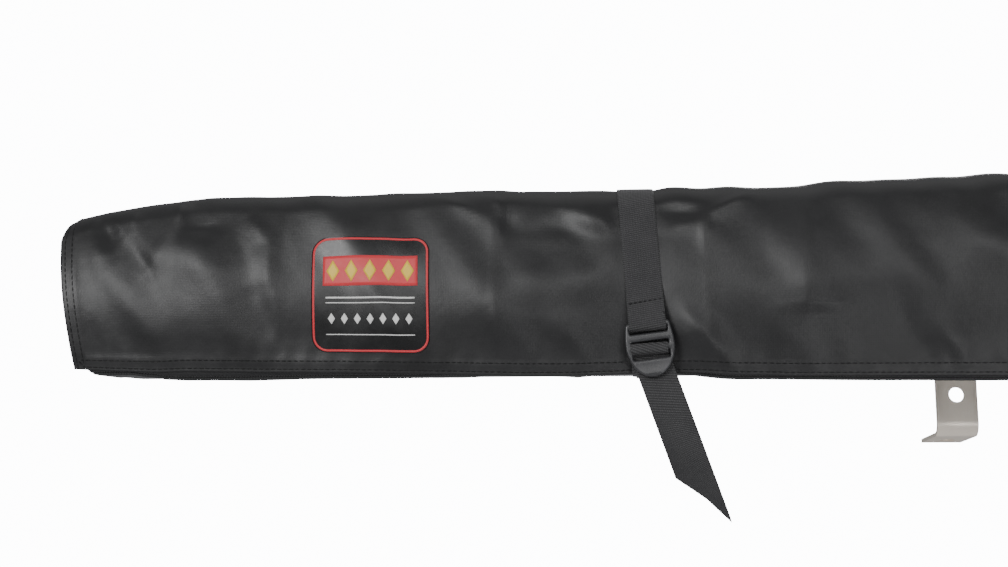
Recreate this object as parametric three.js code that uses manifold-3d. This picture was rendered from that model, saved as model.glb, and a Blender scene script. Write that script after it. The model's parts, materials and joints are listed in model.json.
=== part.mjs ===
// Vehicle side awning, closed and strapped in its travel bag, on two rack brackets.
// Millimetres. X runs along the vehicle, -Y is outboard and +Z is up.
// The origin is at mid-length, in the board's back plane, level with the underside of the bracket feet.

import * as THREE from 'three';
import { mergeVertices } from 'three/addons/utils/BufferGeometryUtils.js';
import Module from 'manifold-3d';

const wasm = await Module();
wasm.setup();

// Shared clearances
const seatGap = 0.3; // between pieces that seat on each other
const overrun = 2; // how far a cutter runs past what it cuts
const weldReach = 0.0001; // corners closer than this are one corner
const roundSteps = 16; // facets round a tube or pin
const boltSteps = 12;
const eyeSteps = 10;
const wireSteps = 8; // facets round a sewn bead or a wire

// Board: the hollow extrusion that carries everything
const boardLength = 2000;
const boardThick = 16;
const boardFoot = 46; // its lower edge above the bracket feet
const boardWall = 2;
const slotRise = 29; // lower T-slot above the board's lower edge
const slotPitch = 45; // from the lower T-slot to the upper
const slotMouth = 8.5;
const slotWidth = 14;
const slotLip = 2.5;
const slotDepth = 9;
const trackBore = 3.5; // radius of the round tracks that hold the sewn beads
const trackMouth = 3;
const trackInset = 4; // track centre below its face
const trackGap = 5; // metal between the top track and the front one
const slotClear = 3.5; // metal between the front track and the upper T-slot
const capThick = 3;
const capPlug = 12;

// Mounting brackets and their fasteners
const bracketSpacing = 776;
const bracketWidth = 30;
const bracketThick = 3;
const bracketPast = 16; // the strip runs this far above the upper T-slot
const bracketFoot = 62;
const bracketBend = 10; // outer radius of the bend
const bracketHole = 11;
const bracketHoleHeight = 30;
const bracketFootHole = 40; // hole in the foot, back from the board
const boltSize = 8;
const boltHole = 9;
const boltHeadWidth = 13; // across flats
const boltHeadHeight = 5.3;
const boltLength = 16;
const nutHeight = 6.5;

// Cover: the top and front panel, two end panels and the bottom panel
const coverOver = 31; // how far the cover runs past each end of the board
const coverWall = 1.2;
const coverSlack = 2; // from the rolled cloth to the middle of the front panel
const coverRise = 12; // the cover's top above the board's
const coverHem = 33;
const coverCorner = 22;
const coverBulge = 2;
const coverBack = 6; // rear edge of the top panel, forward of the board's back
const endDroop = 22; // how far the front top edge drops at each end
const endDroopSpan = 130;
const endDroopPower = 1.6; // above 1 the droop starts gently
const endLean = 19; // how far each end leans outward from hem to top
const endLift = 3.5; // how far the hem rises at each end
const endPanelInset = 20.5;
const beadRadius = 3;
const beadShort = 5; // each bead stops this far from the board's end
const bottomTuck = 4.95; // the bottom panel's edge in from the middle of the chain
const bottomDrop = 4.8; // rear of the bottom panel below the board
const bottomFrontDrop = 4; // front of the bottom panel below the hem

// Zip: two half chains under the front hem that run back along both ends
const zipInset = 6; // middle of the chain behind the front panel
const zipDrop = 1.7; // middle of the chain below the hem
const zipSideInset = 25; // middle of the chain at the ends, in from the cover's end
const zipTurn = 16;
const zipHalf = 4; // width of a half chain
const zipThick = 2;
const zipSplit = 1; // gap between the half chains
const zipTilt = THREE.MathUtils.degToRad(27);
const zipBack = 20; // where the chain stops, forward of the board's back plane
const sliderInset = 91; // slider in from the cover's right end
const sliderLength = 18;
const sliderWidth = 9.2;
const sliderPlate = 1.4;
const sliderWeb = 0.4;
const sliderWebLength = 5;
const bailRadius = 0.9;
const bailDrop = 3.1; // bail's axis below the slider's outer plate
const bailPost = 1.5;
const pullWidth = 5.4;
const pullThick = 1.6;
const pullLength = 28;
const pullEye = 2.4;
const pullBore = 1.3;

// Straps and their ladder-lock buckles
const strapInset = 408; // the outer straps in from the cover's ends
const strapWidth = 25;
const strapThick = 1.2;
const strapLean = 0.073; // sideways shift per unit of fall
const strapLapTop = 84; // where the sewn loop's back layer ends
const strapSewnBack = 30; // the lower strap's sewn end from the board's back plane
const tailLean = 0.35;
const tailTip = -66;
const tailCut = 27; // how much longer the tail is on its right edge than on its left
const tailPoint = 3; // width left at the tip
const buckleWidth = 32;
const buckleWindow = 26;
const buckleThick = 4;
const buckleStandoff = 7.5; // middle of the buckle in front of the front panel
const buckleTop = 65;
const buckleBar = 4; // diameter of the round bar that the upper strap loops round
const loopGap = 4.5; // first window
const guideBar = 3.8;
const gripGap = 3.5; // second window
const gripBar = 4;
const tongueGap = 5.2; // third window
const tongueLength = 12;
const tongueRound = 9;

// Arms: telescopic tubes that fold flat against the board
const armPivotInset = 32; // from the board's end
const armStandoff = 16.5; // tube's middle in front of the board's face
const armLaneLeft = 70;
const armLaneRight = 102;
const armTube = 25;
const armTubeWall = 1.5;
const armPastMiddle = 32; // the folded outer tube runs this far past mid-length
const armInnerTube = 20;
const armInnerWall = 1.5;
const armInnerShow = 45;
const armTipFlat = 5;
const armTipLength = 30;
const armTipHole = 8;
const knuckleReach = 15; // pivot to the start of the tube
const knucklePlug = 30;
const neckShare = 0.7; // a knuckle's neck, of its eye's width
const armCollar = 30.4;
const armCollarLength = 34;
const armCollarLap = 22; // length over the outer tube
const armBracketLength = 44;
const armBracketBack = 22; // how far the bracket runs past the pivot
const armEar = 2.5;
const armEarDepth = 30;
const armPinSize = 8;
const pinHead = 13;
const pinHeadThick = 1.8;

// Front bar with its end fittings
const barShort = 20; // the bar stops this far from each end of the board
const barWidth = 25;
const barHeight = 40;
const rollClear = 4; // from the folded arms to the rolled cloth
const barBottom = 77;
const barWall = 2;
const barCorner = 3;
const barPlate = 4;
const barPlug = 25;

// Legs: telescopic tubes that fold up under the front bar
const legPivotInset = 15; // from the bar's end
const legGap = 1.8; // from a leg's collar to the bar above it
const legLane = 12; // each leg's offset from the bar's middle plane
const legTube = 22;
const legTubeWall = 1.5;
const legShort = 35; // the folded outer tube stops this far short of mid-length
const legInnerTube = 18;
const legInnerWall = 1.5;
const legInnerShow = 25;
const legKnuckle = 21.4;
const legReach = 13;
const legCollar = 26.4;
const legCollarLength = 30;
const legCollarLap = 20;
const legPinSize = 6;
const legPinHead = 10;
const legEar = 2;
const legEarBack = 19;
const legEarFront = 15;
const saddleThick = 2.7;
const footSize = 20;
const footLength = 24;
const footCup = 14;

// Canopy cloth: a short lead from the board's front track to the roll round the bar
const rollShort = 40; // the roll stops this far from each end of the bar
const rollThick = 8;
const rollGap = 1.3; // from the collars down to the rolled cloth
const rollTopGap = 2.5; // from the bar's top up to the rolled cloth
const rollSideGap = 0.8; // from the collars out to the rolled cloth
const rollCorner = 12;
const leadThick = 1;
const tiePitch = 324;
const tieThick = 1.2;

// Sizes that follow from the ones above
const frontTrackDrop = trackInset + 2 * trackBore + trackGap; // below the board's upper edge
const slotTopDrop = frontTrackDrop + trackBore + slotClear + slotWidth / 2;
const boardHeight = slotRise + slotPitch + slotTopDrop;
const armSetback = boardThick + armStandoff;
const legHeight = barBottom - (legCollar / 2 + legGap);
const rollInsideBottom = legHeight - legCollar / 2 - rollGap;
const rollInsideHeight = barBottom + barHeight + rollTopGap - rollInsideBottom;
const rollInsideWidth = 2 * (legLane + legCollar / 2 + rollSideGap);
const barSetback = armSetback + armTube / 2 + rollClear + rollThick + rollInsideWidth / 2;
const coverDepth = barSetback + rollInsideWidth / 2 + rollThick + coverSlack;
const zipSetback = coverDepth - zipInset;
const zipHeight = coverHem - zipDrop;
const bottomFront = zipSetback - bottomTuck;
const bottomFrontHeight = coverHem - bottomFrontDrop;
const bottomInset = zipSideInset + bottomTuck;
const buckleSetback = coverDepth + buckleStandoff;
const boardTop = boardFoot + boardHeight;
const coverTop = boardTop + coverRise;
const halfBoard = boardLength / 2;
const halfCover = halfBoard + coverOver;
const strapPitch = halfCover - strapInset;
const halfBar = halfBoard - barShort;
const armPivot = halfBoard - armPivotInset;
const armLength = armPivot + armPastMiddle; // pivot to the end of the outer tube
const legPivot = halfBar - legPivotInset;
const legLength = legPivot - legShort;
const trackMiddle = boardThick / 2;
const slotHeights = [boardFoot + slotRise, boardFoot + slotRise + slotPitch];
const bracketHeight = slotHeights[1] + bracketPast;
const frontTrackHeight = boardTop - frontTrackDrop;
const topTrackHeight = boardTop - trackInset;
const bottomTrackHeight = boardFoot + trackInset;
const bottomBackHeight = boardFoot - bottomDrop;
const bottomSlope = (bottomBackHeight - bottomFrontHeight) / (bottomFront - trackMiddle - bottomDrop);

// Materials
const paint = (color, roughness, metalness = 0) =>
  new THREE.MeshStandardMaterial({ color, roughness, metalness, side: THREE.FrontSide });
const materials = {
  aluminium: paint(0xb9bcc0, 0.4, 0.9),
  steel: paint(0xa9a6a1, 0.35, 1),
  zinc: paint(0xc2c3c4, 0.4, 1),
  cover: paint(0x34353a, 0.45),
  zip: paint(0x17181a, 0.6),
  webbing: paint(0x2b2c2f, 0.85),
  buckle: paint(0x2a2b2e, 0.3),
  fitting: paint(0x1d1e20, 0.5),
  canopy: paint(0x8b8d86, 0.9),
};

// Outlines. A section across the length is drawn as (y, z).
const point = (a, b) => new THREE.Vector2(a, b);

function outline(points) {
  return new THREE.Shape(points);
}

function rect(left, low, right, high) {
  return outline([point(left, low), point(right, low), point(right, high), point(left, high)]);
}

function roundRect(left, low, right, high, radius) {
  const shape = new THREE.Shape();
  shape.moveTo(left + radius, low);
  shape.lineTo(right - radius, low);
  shape.absarc(right - radius, low + radius, radius, -Math.PI / 2, 0);
  shape.lineTo(right, high - radius);
  shape.absarc(right - radius, high - radius, radius, 0, Math.PI / 2);
  shape.lineTo(left + radius, high);
  shape.absarc(left + radius, high - radius, radius, Math.PI / 2, Math.PI);
  shape.lineTo(left, low + radius);
  shape.absarc(left + radius, low + radius, radius, Math.PI, 1.5 * Math.PI);
  return shape;
}

function disc(across, up, radius) {
  const shape = new THREE.Shape();
  shape.absarc(across, up, radius, 0, 2 * Math.PI);
  return shape;
}

// Straight bodies. Each takes its outline, where it starts and where it stops.
const axisX = new THREE.Vector3(1, 0, 0);
const axisY = new THREE.Vector3(0, 1, 0);
const axisZ = new THREE.Vector3(0, 0, 1);

function extrude(shape, length, curveSegments = 4) {
  return new THREE.ExtrudeGeometry(shape, { depth: length, bevelEnabled: false, curveSegments });
}

function alongX(shape, from, to, curveSegments) {
  const body = extrude(shape, to - from, curveSegments);
  body.applyMatrix4(new THREE.Matrix4().makeBasis(axisY, axisZ, axisX));
  return body.translate(from, 0, 0);
}

function alongY(shape, from, to, curveSegments) {
  const body = extrude(shape, to - from, curveSegments);
  body.applyMatrix4(new THREE.Matrix4().makeBasis(axisX, axisZ, axisY.clone().negate()));
  return body.translate(0, to, 0);
}

function alongZ(shape, from, to, curveSegments) {
  return extrude(shape, to - from, curveSegments).translate(0, 0, from);
}

function rodX(from, to, y, z, radius, steps = roundSteps) {
  const body = new THREE.CylinderGeometry(radius, radius, to - from, steps);
  return body.rotateZ(-Math.PI / 2).translate((from + to) / 2, y, z);
}

function rodY(from, to, x, z, radius, steps = roundSteps) {
  return new THREE.CylinderGeometry(radius, radius, to - from, steps).translate(x, (from + to) / 2, z);
}

function rodZ(from, to, x, y, radius, steps = roundSteps) {
  const body = new THREE.CylinderGeometry(radius, radius, to - from, steps);
  return body.rotateX(Math.PI / 2).translate(x, y, (from + to) / 2);
}

// Hexagon with its flats facing up and down
function hexY(from, to, x, z, acrossFlats) {
  const corner = acrossFlats / Math.sqrt(3);
  const body = new THREE.CylinderGeometry(corner, corner, to - from, 6);
  return body.rotateY(Math.PI / 6).translate(x, (from + to) / 2, z);
}

// Joining and cutting of closed bodies
function welded(geometry) {
  const body = geometry.clone();
  body.deleteAttribute('normal');
  body.deleteAttribute('uv');
  return mergeVertices(body, weldReach);
}

function toSolid(geometry) {
  const body = welded(geometry);
  const vertProperties = Float32Array.from(body.attributes.position.array);
  const triVerts = Uint32Array.from(body.index.array);
  return new wasm.Manifold(new wasm.Mesh({ numProp: 3, vertProperties, triVerts }));
}

function fromSolid(solid) {
  const { vertProperties, triVerts } = solid.getMesh();
  const body = new THREE.BufferGeometry();
  body.setAttribute('position', new THREE.BufferAttribute(vertProperties, 3));
  body.setIndex(new THREE.BufferAttribute(triVerts, 1));
  return body;
}

function joined(...geometries) {
  return fromSolid(geometries.map(toSolid).reduce((all, one) => all.add(one)));
}

function cut(geometry, ...cutters) {
  return fromSolid(cutters.map(toSolid).reduce((rest, one) => rest.subtract(one), toSolid(geometry)));
}

function shared(one, other) {
  return fromSolid(toSolid(one).intersect(toSolid(other)));
}

// The same body on the other side of the middle, with its faces turned back to point out
function mirrored(geometry) {
  const body = welded(geometry).scale(-1, 1, 1);
  const corners = body.index.array;
  for (let i = 0; i < corners.length; i += 3) {
    [corners[i], corners[i + 1]] = [corners[i + 1], corners[i]];
  }
  return body;
}

// A closed body through rings that have the same number of corners, capped at both ends
function loft(rings, flatten) {
  const count = rings[0].length;
  const corners = rings.flat().flatMap((p) => [p.x, p.y, p.z]);
  const faces = [];
  for (let i = 0; i + 1 < rings.length; i += 1) {
    for (let j = 0; j < count; j += 1) {
      const a = i * count + j;
      const b = i * count + ((j + 1) % count);
      faces.push([a, b, b + count], [a, b + count, a + count]);
    }
  }
  const last = (rings.length - 1) * count;
  const capFaces = (ring) => THREE.ShapeUtils.triangulateShape(ring.map(flatten), []);
  const turn = THREE.ShapeUtils.isClockWise(rings[0].map(flatten)) ? -1 : 1;
  for (const [a, b, c] of capFaces(rings[0])) {
    faces.push(turn > 0 ? [a, c, b] : [a, b, c]);
  }
  for (const [a, b, c] of capFaces(rings[rings.length - 1])) {
    faces.push(turn > 0 ? [last + a, last + b, last + c] : [last + a, last + c, last + b]);
  }
  const body = new THREE.BufferGeometry();
  body.setAttribute('position', new THREE.Float32BufferAttribute(corners, 3));
  body.setIndex(faces.flat());
  return facingOut(body);
}

// A body whose faces all turn the same way, turned over as a whole if its volume is negative
function facingOut(body) {
  const place = body.attributes.position;
  const corners = Array.from(body.index.array);
  const seen = new Map();
  const edge = (a, b) => `${a},${b}`;
  for (let i = 0; i < corners.length; i += 3) {
    for (let k = 0; k < 3; k += 1) {
      seen.set(edge(corners[i + k], corners[i + ((k + 1) % 3)]), i);
    }
  }
  const owner = (a, b) => seen.get(edge(b, a));
  if (corners.some((v, i) => owner(v, corners[i - (i % 3) + ((i + 1) % 3)]) === undefined)) {
    throw new Error('a lofted body is not closed');
  }
  let volume = 0;
  const at = (i) => new THREE.Vector3().fromBufferAttribute(place, corners[i]);
  for (let i = 0; i < corners.length; i += 3) {
    volume += at(i).dot(at(i + 1).cross(at(i + 2)));
  }
  if (volume < 0) {
    for (let i = 0; i < corners.length; i += 3) {
      [corners[i], corners[i + 1]] = [corners[i + 1], corners[i]];
    }
    body.setIndex(corners);
  }
  return body;
}

// Mitred normals of a (y, z) path, on its left-hand side when it runs forward over the top
function pathNormals(path) {
  return path.map((p, i) => {
    const before = path[Math.max(i - 1, 0)];
    const after = path[Math.min(i + 1, path.length - 1)];
    const way = (from, to) => to.clone().sub(from).normalize();
    const sides = [];
    if (i > 0) sides.push(way(before, p));
    if (i + 1 < path.length) sides.push(way(p, after));
    const normals = sides.map((d) => point(d.y, -d.x));
    const sum = normals.reduce((a, b) => a.clone().add(b)).normalize();
    return sum.multiplyScalar(1 / sum.dot(normals[0]));
  });
}

function shifted(path, distance) {
  const normals = pathNormals(path);
  return path.map((p, i) => p.clone().addScaledVector(normals[i], distance));
}

function sheetRing(path, wall) {
  return [...shifted(path, wall / 2), ...shifted(path, -wall / 2).reverse()];
}

// A flat strap along a (y, z) path. Each point has a sideways shift, a width and a lean, in
// radians, by which the strap's width turns in the XZ plane.
function ribbon(path, shifts, leans, widths, thickness) {
  const outer = shifted(path, thickness / 2);
  const inner = shifted(path, -thickness / 2);
  const rings = path.map((p, i) => {
    const half = point(widths[i] / 2, 0).rotateAround(point(0, 0), leans[i]);
    const corner = (side, face) => new THREE.Vector3(
      shifts[i] + side * half.x, face[i].x, face[i].y + side * half.y,
    );
    return [corner(-1, outer), corner(1, outer), corner(1, inner), corner(-1, inner)];
  });
  return loftStrip(rings);
}

// A loft of four-cornered rings, whose caps are two triangles each
function loftStrip(rings) {
  const corners = rings.flat().flatMap((p) => [p.x, p.y, p.z]);
  const faces = [];
  for (let i = 0; i + 1 < rings.length; i += 1) {
    for (let j = 0; j < 4; j += 1) {
      const a = 4 * i + j;
      const b = 4 * i + ((j + 1) % 4);
      faces.push([a, b, b + 4], [a, b + 4, a + 4]);
    }
  }
  const last = 4 * (rings.length - 1);
  faces.push([0, 2, 1], [0, 3, 2], [last, last + 1, last + 2], [last, last + 2, last + 3]);
  const body = new THREE.BufferGeometry();
  body.setAttribute('position', new THREE.Float32BufferAttribute(corners, 3));
  body.setIndex(faces.flat());
  return facingOut(body);
}

const awning = new THREE.Group();

function add(name, geometry, material) {
  const body = welded(geometry);
  body.computeVertexNormals();
  const mesh = new THREE.Mesh(body, material);
  mesh.name = name;
  awning.add(mesh);
  return mesh;
}

function addPair(name, geometry, material) {
  add(`${name}_left`, geometry, material);
  add(`${name}_right`, mirrored(geometry), material);
}

// Board with two T-slots in its back and three round tracks for sewn beads
function backBoard() {
  const from = -halfBoard;
  const slab = alongX(rect(-boardThick, boardFoot, 0, boardTop), from, halfBoard);
  const through = (shape, steps) => alongX(shape, from - overrun, halfBoard + overrun, steps);
  const slots = slotHeights.flatMap((height) => [
    through(rect(-slotDepth, height - slotWidth / 2, -slotLip, height + slotWidth / 2)),
    through(rect(-slotDepth, height - slotMouth / 2, overrun, height + slotMouth / 2)),
  ]);
  const halfMouth = trackMouth / 2;
  const mouth = [-trackMiddle - halfMouth, -trackMiddle + halfMouth];
  const tracks = [
    through(disc(-trackMiddle, topTrackHeight, trackBore), 3),
    through(rect(mouth[0], topTrackHeight, mouth[1], boardTop + overrun)),
    through(disc(-trackMiddle, bottomTrackHeight, trackBore), 3),
    through(rect(mouth[0], boardFoot - overrun, mouth[1], bottomTrackHeight)),
    through(disc(trackInset - boardThick, frontTrackHeight, trackBore), 3),
    through(rect(
      -boardThick - overrun, frontTrackHeight - halfMouth,
      trackInset - boardThick, frontTrackHeight + halfMouth,
    )),
  ];
  return cut(slab, ...slots, ...tracks, ...chambers(0).map((shape) => through(shape)));
}

// The two hollow chambers, drawn smaller by a clearance where a plug fits them
function chambers(clearance) {
  const spans = [
    [bottomTrackHeight + trackBore + boardWall, slotHeights[0] - slotWidth / 2 - boardWall],
    [slotHeights[0] + slotWidth / 2 + boardWall, slotHeights[1] - slotWidth / 2 - boardWall],
  ];
  return spans.map(([low, high]) => rect(
    boardWall + clearance - boardThick, low + clearance, -boardWall - clearance, high - clearance,
  ));
}

function boardCap() {
  const face = -halfBoard;
  const plate = alongX(roundRect(-boardThick, boardFoot, 0, boardTop, boardWall), face - capThick, face);
  const plugs = chambers(seatGap).map((shape) => alongX(shape, face - capThick / 2, face + capPlug));
  return joined(plate, ...plugs);
}

// L-shaped strip with two bolt holes, a hole for the rack's bolt and one in the foot
function mountingBracket() {
  const bend = new THREE.Shape();
  const inner = bracketBend - bracketThick;
  bend.moveTo(0, bracketHeight);
  bend.lineTo(0, bracketBend);
  bend.absarc(bracketBend, bracketBend, bracketBend, Math.PI, 1.5 * Math.PI);
  bend.lineTo(bracketFoot, 0);
  bend.lineTo(bracketFoot, bracketThick);
  bend.lineTo(bracketBend, bracketThick);
  bend.absarc(bracketBend, bracketBend, inner, 1.5 * Math.PI, Math.PI, true);
  bend.lineTo(bracketThick, bracketHeight);
  const middle = -bracketSpacing / 2;
  const strip = alongX(bend, middle - bracketWidth / 2, middle + bracketWidth / 2);
  const through = [-overrun, bracketThick + overrun];
  const holes = [
    rodY(...through, middle, bracketHoleHeight, bracketHole / 2),
    rodZ(...through, middle, bracketFootHole, bracketHole / 2),
    ...slotHeights.map((height) => rodY(...through, middle, height, boltHole / 2)),
  ];
  return cut(strip, ...holes);
}

function slotBolt(height) {
  const middle = -bracketSpacing / 2;
  const seat = -slotLip - seatGap;
  const head = hexY(seat - boltHeadHeight, seat, middle, height, boltHeadWidth);
  const shank = rodY(seat - boltHeadHeight / 2, seat + boltLength, middle, height, boltSize / 2, boltSteps);
  return joined(head, shank);
}

function slotNut(height) {
  const middle = -bracketSpacing / 2;
  const seat = bracketThick;
  const body = hexY(seat, seat + nutHeight, middle, height, boltHeadWidth);
  const reach = [seat - overrun, seat + nutHeight + overrun];
  return cut(body, rodY(...reach, middle, height, boltSize / 2 + seatGap, boltSteps));
}

// Cover. The droop, lean and lift fade in from each end.
const fade = (fromEnd, span) => Math.max(0, 1 - fromEnd / span);
const topRunShares = [[0, 0], [0.12, 0.6], [0.4, 0.9], [0.75, 1], [1, 1]]; // forward, up
const frontRunShares = [[0.2, 0.6], [0.45, 1], [0.75, 0.7], [1, -0.5]]; // down, outward

function coverPath(fromEnd) {
  const droop = endDroop * fade(fromEnd, endDroopSpan) ** endDroopPower;
  const hem = coverHem + endLift * fade(fromEnd, endDroopSpan / 2);
  const rear = boardTop + coverWall;
  const cornerY = coverCorner - coverDepth;
  const cornerZ = coverTop - coverCorner - droop;
  const path = topRunShares.map(([forward, up]) => point(
    THREE.MathUtils.lerp(-coverBack, cornerY, forward),
    THREE.MathUtils.lerp(rear, coverTop, up) - droop * forward,
  ));
  const cornerSteps = 5;
  for (let i = 1; i <= cornerSteps; i += 1) {
    const angle = Math.PI / 2 + (Math.PI / 2) * (i / cornerSteps);
    path.push(point(cornerY + coverCorner * Math.cos(angle), cornerZ + coverCorner * Math.sin(angle)));
  }
  for (const [down, outward] of frontRunShares) {
    path.push(point(-coverDepth - coverBulge * outward, THREE.MathUtils.lerp(cornerZ, hem, down)));
  }
  return path;
}

// Stations along the cover, as distances from its end
const stationShares = [0, 0.07, 0.15, 0.28, 0.5, 0.8, 1.1];

// How far a point of the end's edge leans in from the tip, before the lean fades
function leanAt(height) {
  return endLean * (1 - (height - coverHem) / (coverTop - coverHem));
}

function coverFront() {
  const depths = stationShares.map((share) => share * endDroopSpan);
  const ring = (fromEnd, side) => sheetRing(coverPath(fromEnd), coverWall).map((p) => {
    const lean = leanAt(p.y) * fade(fromEnd, endDroopSpan);
    return new THREE.Vector3(side * (halfCover - fromEnd - lean), p.x, p.y);
  });
  const rings = [...depths.map((d) => ring(d, -1)), ...depths.reverse().map((d) => ring(d, 1))];
  const sheet = loft(rings, (p) => point(p.y, p.z));
  const beadEnd = halfBoard - beadShort;
  const bead = rodX(-beadEnd, beadEnd, -trackMiddle, topTrackHeight, beadRadius, wireSteps);
  const half = coverWall / 2;
  const neck = alongX(
    rect(-trackMiddle - half, topTrackHeight, -trackMiddle + half, boardTop + coverWall),
    -beadEnd, beadEnd,
  );
  return joined(sheet, neck, bead);
}

function bottomHeightAt(setback) {
  return bottomFrontHeight + bottomSlope * (bottomFront - setback);
}

function coverBottom() {
  const end = halfCover - bottomInset;
  const beadEnd = halfBoard - beadShort;
  const rearBend = trackMiddle + bottomDrop;
  const path = [
    point(-trackMiddle, boardFoot - coverWall),
    point(-trackMiddle - bottomDrop / 4, bottomBackHeight + bottomDrop / 4),
    point(-rearBend, bottomHeightAt(rearBend)),
    point(-bottomFront, bottomFrontHeight),
  ];
  const plan = roundRect(-end, -bottomFront, end, boardThick, zipTurn - zipHalf - seatGap);
  const sheet = shared(
    alongX(outline(sheetRing(path, coverWall)), -end, end),
    alongZ(plan, bottomFrontHeight - coverWall, boardFoot),
  );
  const half = coverWall / 2;
  const neck = alongX(
    rect(-trackMiddle - half, boardFoot - coverWall, -trackMiddle + half, bottomTrackHeight),
    -beadEnd, beadEnd,
  );
  const bead = rodX(-beadEnd, beadEnd, -trackMiddle, bottomTrackHeight, beadRadius, wireSteps);
  return joined(sheet, neck, bead);
}

// End panel, cut to the inside of the cover where it is sewn in
function coverEnd() {
  const clearance = coverWall / 2 + 2 * seatGap;
  const section = coverPath(endPanelInset).map((p, i) => {
    const lean = leanAt(p.y);
    const fromEnd = Math.max(0, (endPanelInset - lean) / (1 - lean / endDroopSpan));
    return coverPath(fromEnd)[i];
  });
  const inside = shifted(section, -clearance);
  const lowEdge = (setback) => bottomHeightAt(setback) + coverWall + seatGap + zipThick + zipHalf / 2;
  const back = coverBack / 2;
  const rear = inside[0];
  const front = inside[inside.length - 1];
  const panel = [...inside, point(-back, lowEdge(back)), point(-back, rear.y)];
  const low = Math.max(front.y, lowEdge(-front.x));
  panel[inside.length - 1] = point(front.x, low);
  const face = endPanelInset - halfCover;
  return alongX(outline(panel), face, face + coverWall);
}

// The chain's middle line in plan, with its outward direction and its height at each point
function zipRoute() {
  const sideX = halfCover - zipSideInset;
  const turnX = sideX - zipTurn;
  const turnY = zipTurn - zipSetback;
  const turnSteps = 4;
  const quarter = [];
  for (let i = 0; i <= turnSteps; i += 1) {
    const angle = (Math.PI / 2) * (i / turnSteps);
    quarter.push({
      x: -turnX - zipTurn * Math.cos(angle),
      y: turnY - zipTurn * Math.sin(angle),
      out: point(-Math.cos(angle), -Math.sin(angle)),
    });
  }
  const left = [{ x: -sideX, y: -zipBack, out: point(-1, 0) }, ...quarter];
  const right = left.map(({ x, y, out }) => ({ x: -x, y, out: point(-out.x, out.y) })).reverse();
  const rise = (y) => bottomSlope * Math.max(0, y + zipSetback);
  return [...left, ...right].map((p) => ({ ...p, z: zipHeight + rise(p.y) }));
}

// One half of the chain. Half +1 hangs from the hem and half -1 is sewn to the bottom panel.
function zipChain(half) {
  const near = zipSplit / 2;
  const far = near + zipHalf;
  const section = [[near, -zipThick / 2], [far, -zipThick / 2], [far, zipThick / 2], [near, zipThick / 2]];
  const rings = zipRoute().map(({ x, y, z, out }) => section.map(([across, up]) => {
    const outward = half * across * Math.cos(zipTilt) - up * Math.sin(zipTilt);
    const height = half * across * Math.sin(zipTilt) + up * Math.cos(zipTilt);
    return new THREE.Vector3(x + out.x * outward, y + out.y * outward, z + height);
  }));
  return loftStrip(rings);
}

// Slider and pull, drawn flat with the chain in the XY plane, its outside facing down
function zipSlider() {
  const halfLength = sliderLength / 2;
  const halfWidth = sliderWidth / 2;
  const clear = zipThick / 2 + seatGap;
  const footprint = roundRect(-halfLength, -halfWidth, halfLength, halfWidth, halfWidth / 2);
  const outer = alongZ(footprint, -clear - sliderPlate, -clear, 2);
  const inner = alongZ(footprint, clear, clear + sliderPlate, 2);
  const web = alongZ(
    rect(halfLength - sliderWebLength, -sliderWeb / 2, halfLength - sliderPlate, sliderWeb / 2),
    -clear - sliderPlate / 2, clear + sliderPlate / 2,
  );
  const under = -clear - sliderPlate;
  const post = pullWidth / 2 + seatGap;
  const posts = [-1, 1].map((side) => alongZ(
    rect(
      -bailPost / 2, Math.min(side * post, side * (post + bailPost)),
      bailPost / 2, Math.max(side * post, side * (post + bailPost)),
    ),
    under - bailDrop - bailRadius, under + sliderPlate / 2,
  ));
  const bail = rodY(-post - bailPost / 2, post + bailPost / 2, 0, under - bailDrop, bailRadius, wireSteps);
  return joined(outer, inner, web, bail, ...posts);
}

function zipPull() {
  const eyeZ = -zipThick / 2 - seatGap - sliderPlate - bailDrop;
  const eye = rodY(-pullWidth / 2, pullWidth / 2, 0, eyeZ, pullEye, eyeSteps);
  const tab = alongZ(
    rect(-pullThick / 2, -pullWidth / 2, pullThick / 2, pullWidth / 2),
    eyeZ - pullLength, eyeZ - pullEye / 2,
  );
  const bore = rodY(-pullWidth, pullWidth, 0, eyeZ, pullBore, eyeSteps);
  return cut(joined(eye, tab), bore);
}

function placeOnChain(mesh) {
  mesh.position.set(halfCover - sliderInset, -zipSetback, zipHeight);
  mesh.rotation.x = -zipTilt;
}

// Buckle rows from the top bar down to the tongue
const barMiddle = buckleTop - buckleBar / 2;
const guideTop = buckleTop - buckleBar - loopGap;
const gripTop = guideTop - guideBar - gripGap;
const tongueTop = gripTop - gripBar - tongueGap;
const buckleFoot = tongueTop - tongueLength;
const buckleFront = buckleSetback + buckleThick / 2;
const buckleRear = buckleSetback - buckleThick / 2;
const strapSeat = seatGap + strapThick / 2;
const strapShift = (height) => strapLean * (coverTop - height);
const strapAngle = Math.atan(strapLean);

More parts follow.
